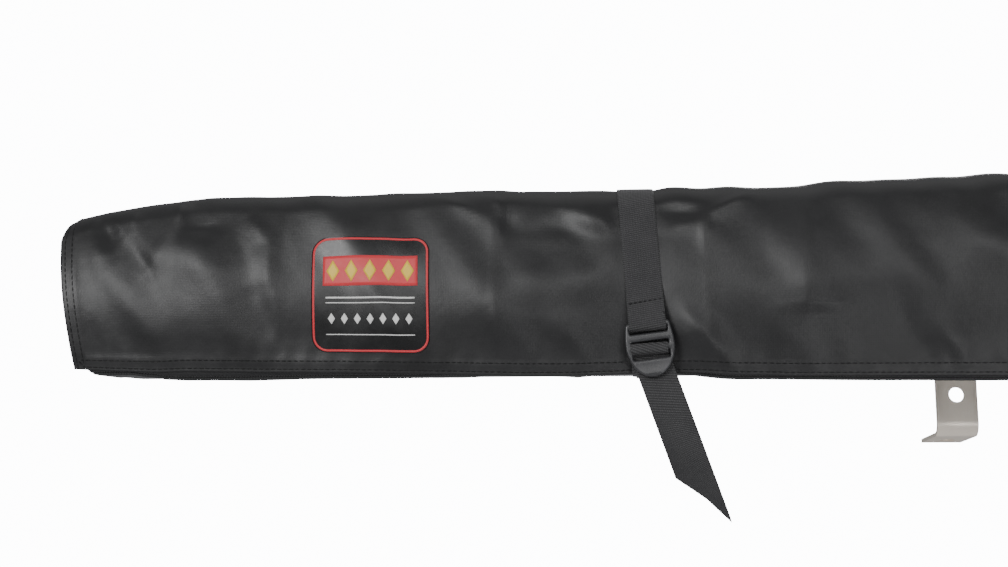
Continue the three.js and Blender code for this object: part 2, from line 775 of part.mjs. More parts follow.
function buckle(place) {
  const half = buckleWidth / 2;
  const body = new THREE.Shape();
  body.moveTo(-half, barMiddle);
  body.lineTo(-half, buckleFoot + tongueRound);
  body.absarc(tongueRound - half, buckleFoot + tongueRound, tongueRound, Math.PI, 1.5 * Math.PI);
  body.absarc(half - tongueRound, buckleFoot + tongueRound, tongueRound, 1.5 * Math.PI, 2 * Math.PI);
  body.lineTo(half, barMiddle);
  const plate = alongY(body, -buckleFront, -buckleRear, 3);
  const side = buckleWindow / 2;
  const window = (low, high) => alongY(
    rect(-side, low, side, high), -buckleFront - overrun, overrun - buckleRear,
  );
  const bar = rodX(-half, half, -buckleSetback, barMiddle, buckleBar / 2, boltSteps);
  const frame = cut(
    plate,
    window(guideTop, barMiddle + overrun),
    window(gripTop, guideTop - guideBar),
    window(tongueTop, gripTop - gripBar),
  );
  const fitting = joined(frame, bar);
  fitting.translate(0, 0, -barMiddle).rotateY(-strapAngle);
  return fitting.translate(place + strapShift(barMiddle), 0, barMiddle);
}

// Upper strap: from the cover's back edge over the top, down the front and round the buckle's bar
function strapUpper(place) {
  const over = shifted(coverPath(halfCover), coverWall / 2 + strapSeat);
  const clear = coverDepth + coverBulge + coverWall / 2 + strapSeat;
  const front = -buckleFront - strapSeat;
  const back = -buckleRear + strapSeat;
  const under = barMiddle - buckleBar / 2 - strapSeat;
  const step = strapThick / 2;
  const layer = strapThick + seatGap;
  const path = [
    ...over.filter((p) => p.y > strapLapTop + strapWidth / 2 && p.x < -coverBack),
    point(-clear - layer, strapLapTop + layer),
    point(front, buckleTop + layer),
    point(front, under + step * 2),
    point(front + step * 2, under),
    point(back - step * 2, under),
    point(back, under + step * 2),
    point(back, buckleTop),
    point(-clear, strapLapTop - layer),
  ];
  const lean = (p) => strapAngle * THREE.MathUtils.clamp((coverTop - p.y) / coverCorner, 0, 1);
  const shifts = path.map((p) => place + strapShift(p.y));
  return ribbon(path, shifts, path.map(lean), path.map(() => strapWidth), strapThick);
}

// Lower strap: from the bottom panel round the lower edge, up behind the buckle, over its grip bar
// and down again behind the tongue as the hanging tail
function strapLower(place) {
  const loadY = -buckleRear + strapThick + seatGap + strapSeat;
  const tailY = -buckleRear + strapSeat;
  const frontY = -buckleFront - strapSeat;
  const overBar = gripTop + strapSeat;
  const underBar = gripTop - gripBar - strapSeat;
  const step = strapThick / 2;
  const below = coverWall / 2 + strapSeat;
  const zipFoot = bottomFrontHeight - zipThick / 2 - strapSeat;
  const load = [
    point(-strapSewnBack, bottomHeightAt(strapSewnBack) - below),
    point(-bottomFront + zipHalf, bottomHeightAt(bottomFront - zipHalf) - below - strapThick / 2),
    point(-bottomFront - zipThick, zipFoot - step),
    point(loadY + strapThick, coverHem - zipThick),
    point(loadY, coverHem + zipThick),
    point(loadY, overBar - step * 2),
  ];
  const wrap = [
    point(tailY + step, overBar),
    point(frontY + step, overBar),
    point(frontY, overBar - step),
    point(frontY, underBar + step),
    point(frontY + step, underBar),
    point(tailY - step * 2, underBar - step),
    point(tailY, underBar - step * 4),
  ];
  const tailAngle = Math.atan(tailLean);
  const cutTop = tailTip + tailCut * Math.cos(tailAngle) + strapWidth * Math.sin(tailAngle) / 2;
  const tail = [
    point(tailY, buckleFoot),
    point(tailY - strapThick, (buckleFoot + cutTop) / 2),
    point(tailY, cutTop),
    point(tailY, tailTip),
  ];
  const lowShift = strapShift(tongueTop);
  const upFront = (p) => p.y > coverHem && p.x < -bottomFront;
  const shifts = [
    ...load.map((p) => place + (upFront(p) ? strapShift(p.y) : lowShift)),
    ...wrap.map((p) => place + strapShift(p.y)),
    ...tail.map((p) => place + lowShift + tailLean * (tongueTop - p.y)),
  ];
  shifts[shifts.length - 1] += (strapWidth - tailPoint) / 2;
  const leans = [
    ...load.map((p) => (upFront(p) ? strapAngle : 0)),
    ...wrap.map(() => strapAngle),
    strapAngle, tailAngle, tailAngle, tailAngle,
  ];
  const widths = [...load, ...wrap, ...tail].map(() => strapWidth);
  widths[widths.length - 1] = tailPoint;
  return ribbon([...load, ...wrap, ...tail], shifts, leans, widths, strapThick);
}

// Arms, drawn for the left end and mirrored for the right
const armY = -armSetback;
const earFace = armTube / 2;
const knuckleFace = earFace - seatGap;

function armBracket(lane) {
  const from = -armPivot - armBracketBack;
  const to = from + armBracketLength;
  const face = -boardThick - seatGap;
  const outer = rect(face - armEarDepth, lane - earFace - armEar, face, lane + earFace + armEar);
  const inside = rect(face - armEarDepth - overrun, lane - earFace, face - armEar, lane + earFace);
  const reach = earFace + armEar + overrun;
  return cut(
    alongX(outer, from, to),
    alongX(inside, from - overrun, to + overrun),
    rodZ(lane - reach, lane + reach, -armPivot, armY, armPinSize / 2 + seatGap),
  );
}

function armPin(lane) {
  const reach = earFace + armEar + seatGap;
  const heads = [
    rodZ(lane + reach, lane + reach + pinHeadThick, -armPivot, armY, pinHead / 2),
    rodZ(lane - reach - pinHeadThick, lane - reach, -armPivot, armY, pinHead / 2),
  ];
  const over = reach + seatGap;
  return joined(rodZ(lane - over, lane + over, -armPivot, armY, armPinSize / 2), ...heads);
}

function armKnuckle(lane) {
  const eye = rodZ(lane - knuckleFace, lane + knuckleFace, -armPivot, armY, earFace);
  const root = -armPivot + knuckleReach - seatGap;
  const neckHalf = earFace * neckShare;
  const neck = alongX(
    roundRect(armY - neckHalf, lane - knuckleFace, armY + neckHalf, lane + knuckleFace, armTubeWall),
    -armPivot, root,
  );
  const plug = rodX(root - overrun, root + knucklePlug, armY, lane, armTube / 2 - armTubeWall - seatGap);
  const bore = rodZ(lane - armTube, lane + armTube, -armPivot, armY, armPinSize / 2 + seatGap);
  return cut(joined(eye, neck, plug), bore);
}

function tube(from, to, y, z, size, wall) {
  return cut(
    rodX(from, to, y, z, size / 2),
    rodX(from - overrun, to + overrun, y, z, size / 2 - wall),
  );
}

function armOuter(lane) {
  return tube(-armPivot + knuckleReach, -armPivot + armLength, armY, lane, armTube, armTubeWall);
}

// Inner tube with its free end pressed flat and drilled for the hook-up
function armInner(lane) {
  const root = -armPivot + knuckleReach + knucklePlug + armInnerTube / 2;
  const tip = -armPivot + armLength + armInnerShow;
  const pressed = tip - armTipLength;
  const body = tube(root, pressed, armY, lane, armInnerTube, armInnerWall);
  const taper = new THREE.CylinderGeometry(
    armInnerTube / 2, armInnerTube / 2, armTipLength / 2, roundSteps,
  );
  taper.rotateZ(-Math.PI / 2);
  const squeeze = taper.attributes.position;
  for (let i = 0; i < squeeze.count; i += 1) {
    if (squeeze.getX(i) > 0) squeeze.setZ(i, squeeze.getZ(i) * (armTipFlat / armInnerTube));
  }
  taper.translate(pressed + armTipLength / 4 - seatGap, armY, lane);
  const blade = alongZ(
    roundRect(
      pressed + armTipLength / 3, armY - armInnerTube / 2,
      tip, armY + armInnerTube / 2, armInnerTube / 3,
    ),
    lane - armTipFlat / 2, lane + armTipFlat / 2,
  );
  const hole = rodZ(
    lane - armTipFlat, lane + armTipFlat, tip - armInnerTube / 2, armY, armTipHole / 2,
  );
  return cut(joined(body, taper, blade), hole);
}

// Clamping collar: a wide bore over the outer tube and a narrow one over the inner
function collar(edge, y, z, size, length, lap, outerSize, innerSize) {
  const body = rodX(edge - lap, edge - lap + length, y, z, size / 2, 2 * roundSteps);
  const wide = rodX(edge - lap - overrun, edge + seatGap, y, z, outerSize / 2 + seatGap);
  const narrow = rodX(edge, edge - lap + length + overrun, y, z, innerSize / 2 + seatGap);
  return cut(body, wide, narrow);
}

// Front bar and what folds under it
const barY = -barSetback;
const barTop = barBottom + barHeight;

function barSection(inset) {
  return roundRect(
    barY - barWidth / 2 + inset, barBottom + inset, barY + barWidth / 2 - inset, barTop - inset,
    Math.max(barCorner - inset, barWall / 2),
  );
}

function frontBar() {
  return cut(
    alongX(barSection(0), -halfBar, halfBar, 2),
    alongX(barSection(barWall), -halfBar - overrun, halfBar + overrun, 2),
  );
}

// End fitting: plate, plug and a two-eared seat for the leg, whose lane is given
function barEnd(lane) {
  const face = -halfBar;
  const plate = alongX(barSection(0), face - barPlate, face, 2);
  const plug = alongX(barSection(barWall + seatGap), face - barPlate / 2, face + barPlug, 2);
  const y = barY + lane;
  const earIn = legTube / 2;
  const saddleTop = barBottom - seatGap;
  const from = -legPivot - legEarBack;
  const to = -legPivot + legEarFront;
  const saddle = alongX(
    rect(y - earIn - legEar, saddleTop - saddleThick, y + earIn + legEar, saddleTop), from, to,
  );
  const ears = [y - earIn - legEar, y + earIn].map((start) => alongY(
    roundRect(from, legHeight - legTube / 2, to, saddleTop, legTube / 4), start, start + legEar, 2,
  ));
  const webHalf = barWidth / 2 - barCorner;
  const web = alongX(
    rect(barY - webHalf, saddleTop - saddleThick, barY + webHalf, (barTop + barBottom) / 2),
    from, face - seatGap / 2,
  );
  const hole = rodY(y - legTube, y + legTube, -legPivot, legHeight, legPinSize / 2 + seatGap);
  return cut(joined(plate, plug, saddle, web, ...ears), hole);
}

function legPin(lane) {
  const y = barY + lane;
  const reach = legTube / 2 + legEar + seatGap;
  const heads = [
    rodY(y - reach - pinHeadThick, y - reach, -legPivot, legHeight, legPinHead / 2),
    rodY(y + reach, y + reach + pinHeadThick, -legPivot, legHeight, legPinHead / 2),
  ];
  const over = reach + seatGap;
  return joined(rodY(y - over, y + over, -legPivot, legHeight, legPinSize / 2), ...heads);
}

function legKnuckleBody(lane) {
  const y = barY + lane;
  const half = legKnuckle / 2;
  const eye = rodY(y - half, y + half, -legPivot, legHeight, half);
  const root = -legPivot + legReach - seatGap;
  const neckHalf = half * neckShare;
  const neck = alongX(
    roundRect(y - half, legHeight - neckHalf, y + half, legHeight + neckHalf, legTubeWall),
    -legPivot, root,
  );
  const plug = rodX(root - overrun, root + knucklePlug, y, legHeight, legTube / 2 - legTubeWall - seatGap);
  const bore = rodY(y - legTube, y + legTube, -legPivot, legHeight, legPinSize / 2 + seatGap);
  return cut(joined(eye, neck, plug), bore);
}

const legEnd = -legPivot + legLength;

function legOuter(lane) {
  return tube(-legPivot + legReach, legEnd, barY + lane, legHeight, legTube, legTubeWall);
}

function legInner(lane) {
  const root = -legPivot + legReach + knucklePlug + legInnerTube / 2;
  return tube(root, legEnd + legInnerShow, barY + lane, legHeight, legInnerTube, legInnerWall);
}

// Rubber foot: a cup over the inner tube's end, closed at its tip
function legFoot(lane) {
  const y = barY + lane;
  const tip = legEnd + legInnerShow + footLength - footCup;
  const body = rodX(tip - footLength, tip, y, legHeight, footSize / 2);
  const socket = rodX(
    tip - footLength - overrun, legEnd + legInnerShow + seatGap, y, legHeight,
    legInnerTube / 2 + seatGap,
  );
  return cut(body, socket);
}

// Canopy: a hollow roll round the bar and the legs, with its lead and bead
const rollLeft = barY - rollInsideWidth / 2;
const rollRight = barY + rollInsideWidth / 2;
const rollTop = rollInsideBottom + rollInsideHeight;

function rollSection(grow) {
  return roundRect(
    rollLeft - grow, rollInsideBottom - grow, rollRight + grow, rollTop + grow, rollCorner + grow,
  );
}

function leadPath() {
  return [
    point(barY, rollTop + rollThick - leadThick / 2),
    point(rollRight, rollTop + rollThick + leadThick),
    point(-boardThick - leadThick, frontTrackHeight),
    point(trackInset - boardThick, frontTrackHeight),
  ];
}

function canopy() {
  const section = rollSection(rollThick);
  section.holes.push(rollSection(0));
  const half = halfBar - rollShort;
  const roll = alongX(section, -half, half);
  const lead = alongX(outline(sheetRing(leadPath(), leadThick)), -half, half);
  const bead = rodX(-half, half, trackInset - boardThick, frontTrackHeight, beadRadius, wireSteps);
  return joined(roll, lead, bead);
}

// Tie: webbing round the roll, open where the cloth leaves it
function rollTie(place) {
  const grow = rollThick + seatGap + tieThick / 2;
  const radius = rollCorner + grow;
  const left = rollLeft - grow;
  const right = rollRight + grow;
  const low = rollInsideBottom - grow;
  const high = rollTop + grow;
  const path = new THREE.Path();
  path.moveTo(right, high - radius);
  path.lineTo(right, low + radius);
  path.absarc(right - radius, low + radius, radius, 0, -Math.PI / 2, true);
  path.lineTo(left + radius, low);
  path.absarc(left + radius, low + radius, radius, -Math.PI / 2, -Math.PI, true);
  path.lineTo(left, high - radius);
  path.absarc(left + radius, high - radius, radius, Math.PI, Math.PI / 2, true);
  path.lineTo(left + radius + tieThick, high);
  const points = path.getPoints(4).filter((p, i, all) => i === 0 || p.distanceTo(all[i - 1]) > seatGap);
  const [shifts, leans, widths] = [place, 0, strapWidth].map((value) => points.map(() => value));
  return ribbon(points, shifts, leans, widths, tieThick);
}

// Everything in its place
add('back_board', backBoard(), materials.aluminium);
addPair('board_end_cap', boardCap(), materials.fitting);
addPair('mounting_bracket', mountingBracket(), materials.steel);
slotHeights.forEach((height, row) => {
  const level = ['lower', 'upper'][row];
  addPair(`bracket_bolt_${level}`, slotBolt(height), materials.zinc);
  addPair(`bracket_nut_${level}`, slotNut(height), materials.zinc);
});

add('cover_front', coverFront(), materials.cover);
add('cover_bottom', coverBottom(), materials.cover);
addPair('cover_end', coverEnd(), materials.cover);
add('zip_upper', zipChain(1), materials.zip);
add('zip_lower', zipChain(-1), materials.zip);
placeOnChain(add('zip_slider', zipSlider(), materials.zinc));
placeOnChain(add('zip_pull', zipPull(), materials.zinc));

['left', 'middle', 'right'].forEach((where, i) => {
  const place = strapPitch * (i - 1);
  add(`strap_upper_${where}`, strapUpper(place), materials.webbing);
  add(`strap_buckle_${where}`, buckle(place), materials.buckle);
  add(`strap_lower_${where}`, strapLower(place), materials.webbing);
});

const armEnd = -armPivot + armLength;
const legLanes = [-legLane, legLane];
[armLaneLeft, armLaneRight].forEach((lane, i) => {
  const side = ['left', 'right'][i];
  const turn = i === 0 ? (body) => body : mirrored;
  const put = (name, body, material) => add(`${name}_${side}`, turn(body), material);
  put('arm_bracket', armBracket(lane), materials.aluminium);
  put('arm_pin', armPin(lane), materials.zinc);
  put('arm_knuckle', armKnuckle(lane), materials.fitting);
  put('arm_outer', armOuter(lane), materials.aluminium);
  put('arm_inner', armInner(lane), materials.aluminium);
  put('arm_collar', collar(
    armEnd, armY, lane, armCollar, armCollarLength, armCollarLap, armTube, armInnerTube,
  ), materials.fitting);
  const legY = legLanes[i];
  put('bar_end', barEnd(legY), materials.fitting);
  put('leg_pin', legPin(legY), materials.zinc);
  put('leg_knuckle', legKnuckleBody(legY), materials.fitting);
  put('leg_outer', legOuter(legY), materials.aluminium);
  put('leg_inner', legInner(legY), materials.aluminium);
  put('leg_collar', collar(
    legEnd, barY + legY, legHeight, legCollar, legCollarLength, legCollarLap, legTube, legInnerTube,
  ), materials.fitting);
  put('leg_foot', legFoot(legY), materials.fitting);
  add(`roll_tie_${side}`, rollTie(tiePitch * (2 * i - 1)), materials.webbing);
});
add('front_bar', frontBar(), materials.aluminium);
add('canopy', canopy(), materials.canopy);

export default awning;
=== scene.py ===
# Vehicle side awning, shut and strapped in its travel bag.
# Places and sizes are in millimetres, in the frame's own axes, until a mesh is made.
import json
import math

import bmesh
import bpy
import numpy as np
from mathutils import Matrix, Vector


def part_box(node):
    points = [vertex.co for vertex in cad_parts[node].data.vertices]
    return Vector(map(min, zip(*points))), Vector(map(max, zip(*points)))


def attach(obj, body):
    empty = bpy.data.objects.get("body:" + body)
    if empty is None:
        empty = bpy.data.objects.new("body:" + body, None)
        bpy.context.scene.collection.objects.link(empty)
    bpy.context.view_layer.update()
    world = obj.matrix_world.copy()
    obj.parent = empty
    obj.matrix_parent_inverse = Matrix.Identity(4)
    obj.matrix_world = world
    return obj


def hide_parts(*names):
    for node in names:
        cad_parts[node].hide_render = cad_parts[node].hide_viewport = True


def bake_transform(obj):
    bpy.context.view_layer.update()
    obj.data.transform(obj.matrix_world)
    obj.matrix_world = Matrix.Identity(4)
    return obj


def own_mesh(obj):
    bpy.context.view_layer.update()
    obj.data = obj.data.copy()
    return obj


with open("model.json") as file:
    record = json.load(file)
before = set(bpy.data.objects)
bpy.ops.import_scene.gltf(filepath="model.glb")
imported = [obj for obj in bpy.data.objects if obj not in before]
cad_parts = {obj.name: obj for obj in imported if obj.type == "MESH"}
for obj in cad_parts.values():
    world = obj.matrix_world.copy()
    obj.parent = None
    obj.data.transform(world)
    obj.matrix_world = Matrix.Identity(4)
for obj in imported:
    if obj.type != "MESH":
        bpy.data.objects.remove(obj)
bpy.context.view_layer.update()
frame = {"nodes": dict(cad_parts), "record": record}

metres = 0.001


# Camera: low, level with the strap tails, looking up and a little to the left
camera = {
    "place": (-628, -1089, -99), "turnLeft": 5.0, "tiltUp": 11.2, "roll": 0.3,
    "focalPixels": 1450, "photoWidth": 1008, "sensor": 36.0,
}


def placeCamera(c):
    # the view's axis from its two angles, then the level axis turned round it by the roll
    yaw, pitch, roll = (math.radians(c[part]) for part in ("turnLeft", "tiltUp", "roll"))
    ahead = Vector((-math.sin(yaw) * math.cos(pitch), math.cos(yaw) * math.cos(pitch), math.sin(pitch)))
    level = Vector((math.cos(yaw), math.sin(yaw), 0))
    right = math.cos(roll) * level + math.sin(roll) * level.cross(ahead)
    data = bpy.data.cameras.new("camera")
    data.sensor_width = c["sensor"]
    data.lens = c["focalPixels"] / c["photoWidth"] * c["sensor"]
    data.clip_start, data.clip_end = 0.01, 100
    thing = bpy.data.objects.new("camera", data)
    turned = Matrix((right, right.cross(ahead), -ahead)).transposed().to_4x4()
    thing.matrix_world = Matrix.Translation(Vector(c["place"]) * metres) @ turned
    bpy.context.scene.collection.objects.link(thing)
    bpy.context.scene.camera = thing


placeCamera(camera)
print("camera placed")


# Small sums
def unitVectors(v):
    # each vector over its own length
    return v / np.maximum(np.linalg.norm(v, axis=-1, keepdims=True), 1e-9)


def smooth(t):
    # three t squared less two t cubed: level at 0 and at 1
    return t * t * (3 - 2 * t)


def eased(x, knots):
    # smooth steps from each (place, value) to the next
    places, values = knots.T
    i = np.clip(np.searchsorted(places, x) - 1, 0, len(places) - 2)
    t = np.clip((x - places[i]) / (places[i + 1] - places[i]), 0, 1)
    return values[i] + (values[i + 1] - values[i]) * smooth(t)


def lengthAlong(route):
    # how far each point lies from the first, walked along the points
    return np.concatenate([[0], np.cumsum(np.linalg.norm(np.diff(route, axis=0), axis=1))])


def resampled(route, step):
    # the same line at even steps; points that repeat the one before are dropped first
    moved = np.linalg.norm(np.diff(route, axis=0), axis=1) > 1e-6
    route = route[np.concatenate([[True], moved])]
    along = lengthAlong(route)
    s = np.linspace(0, along[-1], max(4, int(along[-1] / step)))
    return np.stack([np.interp(s, along, column) for column in route.T], -1)


def roundedBox(left, right, low, high, radius, count):
    # a quarter turn of points about each corner's centre, from the upper right one round to the left
    t = np.linspace(0, np.pi / 2, count)
    centres = ((right - radius, high - radius), (left + radius, high - radius),
               (left + radius, low + radius), (right - radius, low + radius))
    turns = [t + quarter * np.pi / 2 for quarter in range(4)]
    return np.vstack([np.column_stack([x + radius * np.cos(a), y + radius * np.sin(a)])
                      for (x, y), a in zip(centres, turns)])


def roundedPath(corners, radii, step):
    # straight runs joined by arcs that touch both runs, then points at even steps along it
    corners = np.asarray(corners, float)
    run = [corners[:1]]
    for before, corner, after, radius in zip(corners, corners[1:], corners[2:], radii):
        into, out = unitVectors(corner - before), unitVectors(after - corner)
        turn = math.acos(float(np.clip(into @ out, -1, 1)))
        if radius <= 0 or turn < 0.02:
            run.append(corner[None])
            continue
        half = math.tan(turn / 2)
        room = 0.499 * min(np.linalg.norm(corner - before), np.linalg.norm(after - corner))
        reach = min(radius * half, room)
        radius = reach / half
        side = unitVectors(out - into * (into @ out))
        centre = corner - into * reach + side * radius
        t = np.linspace(0, turn, max(3, int(turn / 0.16)))[:, None]
        run.append(centre - side * radius * np.cos(t) + into * radius * np.sin(t))
    run.append(corners[-1:])
    return resampled(np.concatenate(run), step)


def rounded(angle, power):
    # a cosine and a sine whose sizes are raised to a power below one, which fills out an oval's corners
    c, s = np.cos(angle), np.sin(angle)
    return np.sign(c) * np.abs(c) ** power[0], np.sign(s) * np.abs(s) ** power[1]


def sideways(flat):
    # for a line of (y, z) points, the direction square to it, to the left of the way it runs
    way = unitVectors(np.gradient(flat, axis=0))
    return np.column_stack([-way[:, 1], way[:, 0]])


# Mesh making
def gridFaces(rows, columns, aroundRows=False, aroundColumns=False):
    # quads between neighbouring rows and columns of points; going around joins the last to the first
    r = np.arange(rows if aroundRows else rows - 1)[:, None] * columns
    c = np.arange(columns if aroundColumns else columns - 1)
    nextRow, nextColumn = (r + columns) % (rows * columns), (c + 1) % columns
    corners = (r + c, r + nextColumn, nextRow + nextColumn, nextRow + c)
    return np.stack([corner.ravel() for corner in corners], 1)


def tubeFaces(rows, sides, insideOut=False):
    # rings of points joined into a tube, with its two ends shut
    ring = np.arange(sides)
    faces = [gridFaces(rows, sides, aroundColumns=True), ring[::-1][None], ring[None] + (rows - 1) * sides]
    return [part[:, ::-1] for part in faces] if insideOut else faces


def makeMesh(name, points, faces, uv=None, shadeSmooth=True):
    # faces is a list of index arrays, each with one count of corners per face
    mesh = bpy.data.meshes.new(name)
    points = np.asarray(points, float).reshape(-1, 3) * metres
    loops = np.concatenate([part.ravel() for part in faces])
    counts = np.concatenate([np.full(len(part), part.shape[1]) for part in faces])
    mesh.vertices.add(len(points))
    mesh.vertices.foreach_set("co", points.astype(np.float32).ravel())
    mesh.loops.add(len(loops))
    mesh.loops.foreach_set("vertex_index", loops.astype(np.int32))
    mesh.polygons.add(len(counts))
    starts = np.concatenate([[0], np.cumsum(counts)[:-1]])
    mesh.polygons.foreach_set("loop_start", starts.astype(np.int32))
    mesh.polygons.foreach_set("use_smooth", np.full(len(counts), shadeSmooth))
    if uv is not None:
        layer = mesh.uv_layers.new(name="UVMap")
        layer.data.foreach_set("uv", (uv.reshape(-1, 2)[loops] * metres).astype(np.float32).ravel())
    mesh.update(calc_edges=True)
    mesh.validate()
    return mesh


def recalculate(mesh, within=1e-6):
    # doubles merged, then every face turned outwards
    tidy = bmesh.new()
    tidy.from_mesh(mesh)
    bmesh.ops.remove_doubles(tidy, verts=tidy.verts, dist=within)
    bmesh.ops.recalc_face_normals(tidy, faces=tidy.faces)
    tidy.to_mesh(mesh)
    tidy.free()


def slab(name, top, under, uv):
    # a sheet with two faces: the upper rows, the lower ones back, and a strip along each side edge
    rows, columns = 2 * len(top), top.shape[1]
    edge = np.arange(rows) * columns
    faces = [gridFaces(rows, columns, aroundRows=True), edge[::-1][None], (edge + columns - 1)[None]]
    mesh = makeMesh(name, np.concatenate([top, under[::-1]]), faces, np.concatenate([uv, uv[::-1]]))
    recalculate(mesh)
    return mesh


def addPiece(name, mesh, body, material, stands=()):
    # a mesh put in the scene with its material and its body, and the frame nodes that it replaces hidden
    piece = bpy.data.objects.new(name, mesh)
    bpy.context.scene.collection.objects.link(piece)
    mesh.materials.append(material)
    if stands:
        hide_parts(*stands)
    if body:
        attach(piece, body)
    return piece


def bead(length, width, height, rings=4, sides=6):
    # an ellipsoid-ended bar along x: each ring's size follows a rounded power of its place along the bar
    s = np.linspace(-1, 1, rings)
    size = np.sqrt(np.clip(1 - np.abs(s) ** 3, 0.04, 1))[:, None]
    angle = np.arange(sides) * 2 * np.pi / sides
    x = np.repeat(s * length / 2, sides)
    y, z = (size * np.cos(angle) * width / 2).ravel(), (size * np.sin(angle) * height / 2).ravel()
    points = np.vstack([np.stack([x, y, z], 1), [[-length / 2, 0, 0], [length / 2, 0, 0]]])
    c, last, tip = np.arange(sides), (rings - 1) * sides, rings * sides
    low = np.stack([c * 0 + tip, (c + 1) % sides, c], 1)
    high = np.stack([c * 0 + tip + 1, last + c, last + (c + 1) % sides], 1)
    return points, [gridFaces(rings, sides, aroundColumns=True), np.vstack([low, high])]


def scatter(template, templateFaces, places, along, across, up):
    # one copy of the template at each place, its x, y and z laid on the three directions given
    points = (places[:, None, :] + template[None, :, :1] * along[:, None, :]
              + template[None, :, 1:2] * across[:, None, :] + template[None, :, 2:] * up[:, None, :])
    first = np.arange(len(places))[:, None, None] * len(template)
    return points, [(part[None] + first).reshape(-1, part.shape[1]) for part in templateFaces]


# Materials
def groupTree(name, inputs, outputs):
    # a node group with its named sockets; kinds are written without the word NodeSocket
    tree = bpy.data.node_groups.new(name, "ShaderNodeTree")
    for label, kind, value in inputs:
        socket = tree.interface.new_socket(name=label, in_out="INPUT", socket_type="NodeSocket" + kind)
        if value is not None:
            socket.default_value = value
    for label in outputs:
        tree.interface.new_socket(name=label, in_out="OUTPUT", socket_type="NodeSocketFloat")
    return tree, tree.nodes.new("NodeGroupInput").outputs, tree.nodes.new("NodeGroupOutput").inputs


def node(tree, kind, sockets, **values):
    # a shader node; a socket is given a value, or another node's output to link to
    made = tree.nodes.new("ShaderNode" + kind)
    for key, value in values.items():
        setattr(made, key, value)
    for key, value in sockets.items():
        target = made.inputs[key]
        if isinstance(value, bpy.types.NodeSocket):
            tree.links.new(value, target)
        else:
            target.default_value = value
    return made


def maths(tree, operation, *values):
    # one sum of its values
    return node(tree, "Math", dict(enumerate(values)), operation=operation).outputs[0]


def mixed(tree, factor, first, second):
    # the first value where the factor is 0, the second where it is 1
    return node(tree, "Mix", {0: factor, 2: first, 3: second}, data_type="FLOAT").outputs[0]


def noise(tree, vector, scale, detail, **more):
    # cloudy values from 0 to 1
    return node(tree, "TexNoise", {"Vector": vector, "Scale": scale, "Detail": detail, **more}).outputs["Fac"]


def ramp(tree, value, ends, colours):
    # one colour up to the first place, another from the second on
    made = node(tree, "ValToRGB", {"Fac": value})
    for element, place, colour in zip(made.color_ramp.elements, ends, colours):
        element.position = place
        element.color = (*colour, 1)
    return made.outputs["Color"]


def weaveGroup():
    # plain weave: two sets of threads, each a round hump across its own width, swapping which is on
    # top from one crossing to the next
    tree, given, out = groupTree("plainWeave", [
        ("Vector", "Vector", None), ("Pitch", "Float", 0.001)], ["Height"])
    parts = node(tree, "SeparateXYZ", {"Vector": given["Vector"]}).outputs
    x, y = (maths(tree, "DIVIDE", parts[axis], given["Pitch"]) for axis in ("X", "Y"))
    humpX, humpY = (
        maths(tree, "ABSOLUTE", maths(tree, "SINE", maths(tree, "MULTIPLY", v, math.pi))) for v in (x, y))
    cell = maths(tree, "ADD", maths(tree, "FLOOR", x), maths(tree, "FLOOR", y))
    checker = maths(tree, "MODULO", maths(tree, "ABSOLUTE", cell), 2)
    top, under = mixed(tree, checker, humpX, humpY), mixed(tree, checker, humpY, humpX)
    height = maths(tree, "MULTIPLY", top, maths(tree, "POWER", under, 0.5))
    tree.links.new(height, out["Height"])
    return tree


def ribGroup():
    # webbing: rows of slanted dashes, drawn as a sine along the strap whose phase steps from one
    # warp column to the next
    tree, given, out = groupTree("webbingRibs", [
        ("Vector", "Vector", None), ("Rib", "Float", 0.0012), ("Column", "Float", 0.0016),
        ("Step", "Float", 0.5), ("Slant", "Float", 0.35)], ["Height"])
    parts = node(tree, "SeparateXYZ", {"Vector": given["Vector"]}).outputs
    column = maths(tree, "DIVIDE", parts["X"], given["Column"])
    along = maths(tree, "DIVIDE", parts["Y"], given["Rib"])
    step = maths(tree, "MULTIPLY", maths(tree, "FLOOR", column), given["Step"])
    slant = maths(tree, "MULTIPLY", maths(tree, "FRACT", column), given["Slant"])
    phase = maths(tree, "MULTIPLY", maths(tree, "ADD", along, maths(tree, "ADD", step, slant)), 2 * math.pi)
    rib = maths(tree, "MULTIPLY_ADD", maths(tree, "SINE", phase), 0.5, 0.5)
    edge = maths(tree, "ABSOLUTE", maths(tree, "SINE", maths(tree, "MULTIPLY", column, math.pi)))
    tree.links.new(maths(tree, "MULTIPLY", rib, maths(tree, "POWER", edge, 0.25)), out["Height"])
    return tree


def patchGroup():
    # slow uneven patches, two parts in three, with finer mottling on them
    tree, given, out = groupTree("unevenPatches", [
        ("Vector", "Vector", None), ("Scale", "Float", 20.0)], ["Mask"])
    broad = noise(tree, given["Vector"], given["Scale"], 3.0)
    fine = noise(tree, given["Vector"], maths(tree, "MULTIPLY", given["Scale"], 7.0), 4.0)
    mask = maths(tree, "MULTIPLY_ADD", fine, 0.35, maths(tree, "MULTIPLY", broad, 0.65))
    tree.links.new(mask, out["Mask"])
    return tree


def scratchGroup():
    # fine parallel lines: noise squeezed hard along two axes and drawn out along the third
    tree, given, out = groupTree("drawnLines", [
        ("Vector", "Vector", None), ("Stretch", "Vector", (1, 60, 60)), ("Scale", "Float", 40.0)], ["Lines"])
    pulled = node(tree, "VectorMath", {0: given["Vector"], 1: given["Stretch"]}, operation="MULTIPLY")
    tree.links.new(noise(tree, pulled.outputs[0], given["Scale"], 6.0, Roughness=0.65), out["Lines"])
    return tree


groups = {"weave": weaveGroup(), "ribs": ribGroup(), "patches": patchGroup(), "lines": scratchGroup()}


def useGroup(tree, name, **sockets):
    # the result of one of the groups, with its sockets given
    return node(tree, "Group", sockets, node_tree=groups[name]).outputs[0]


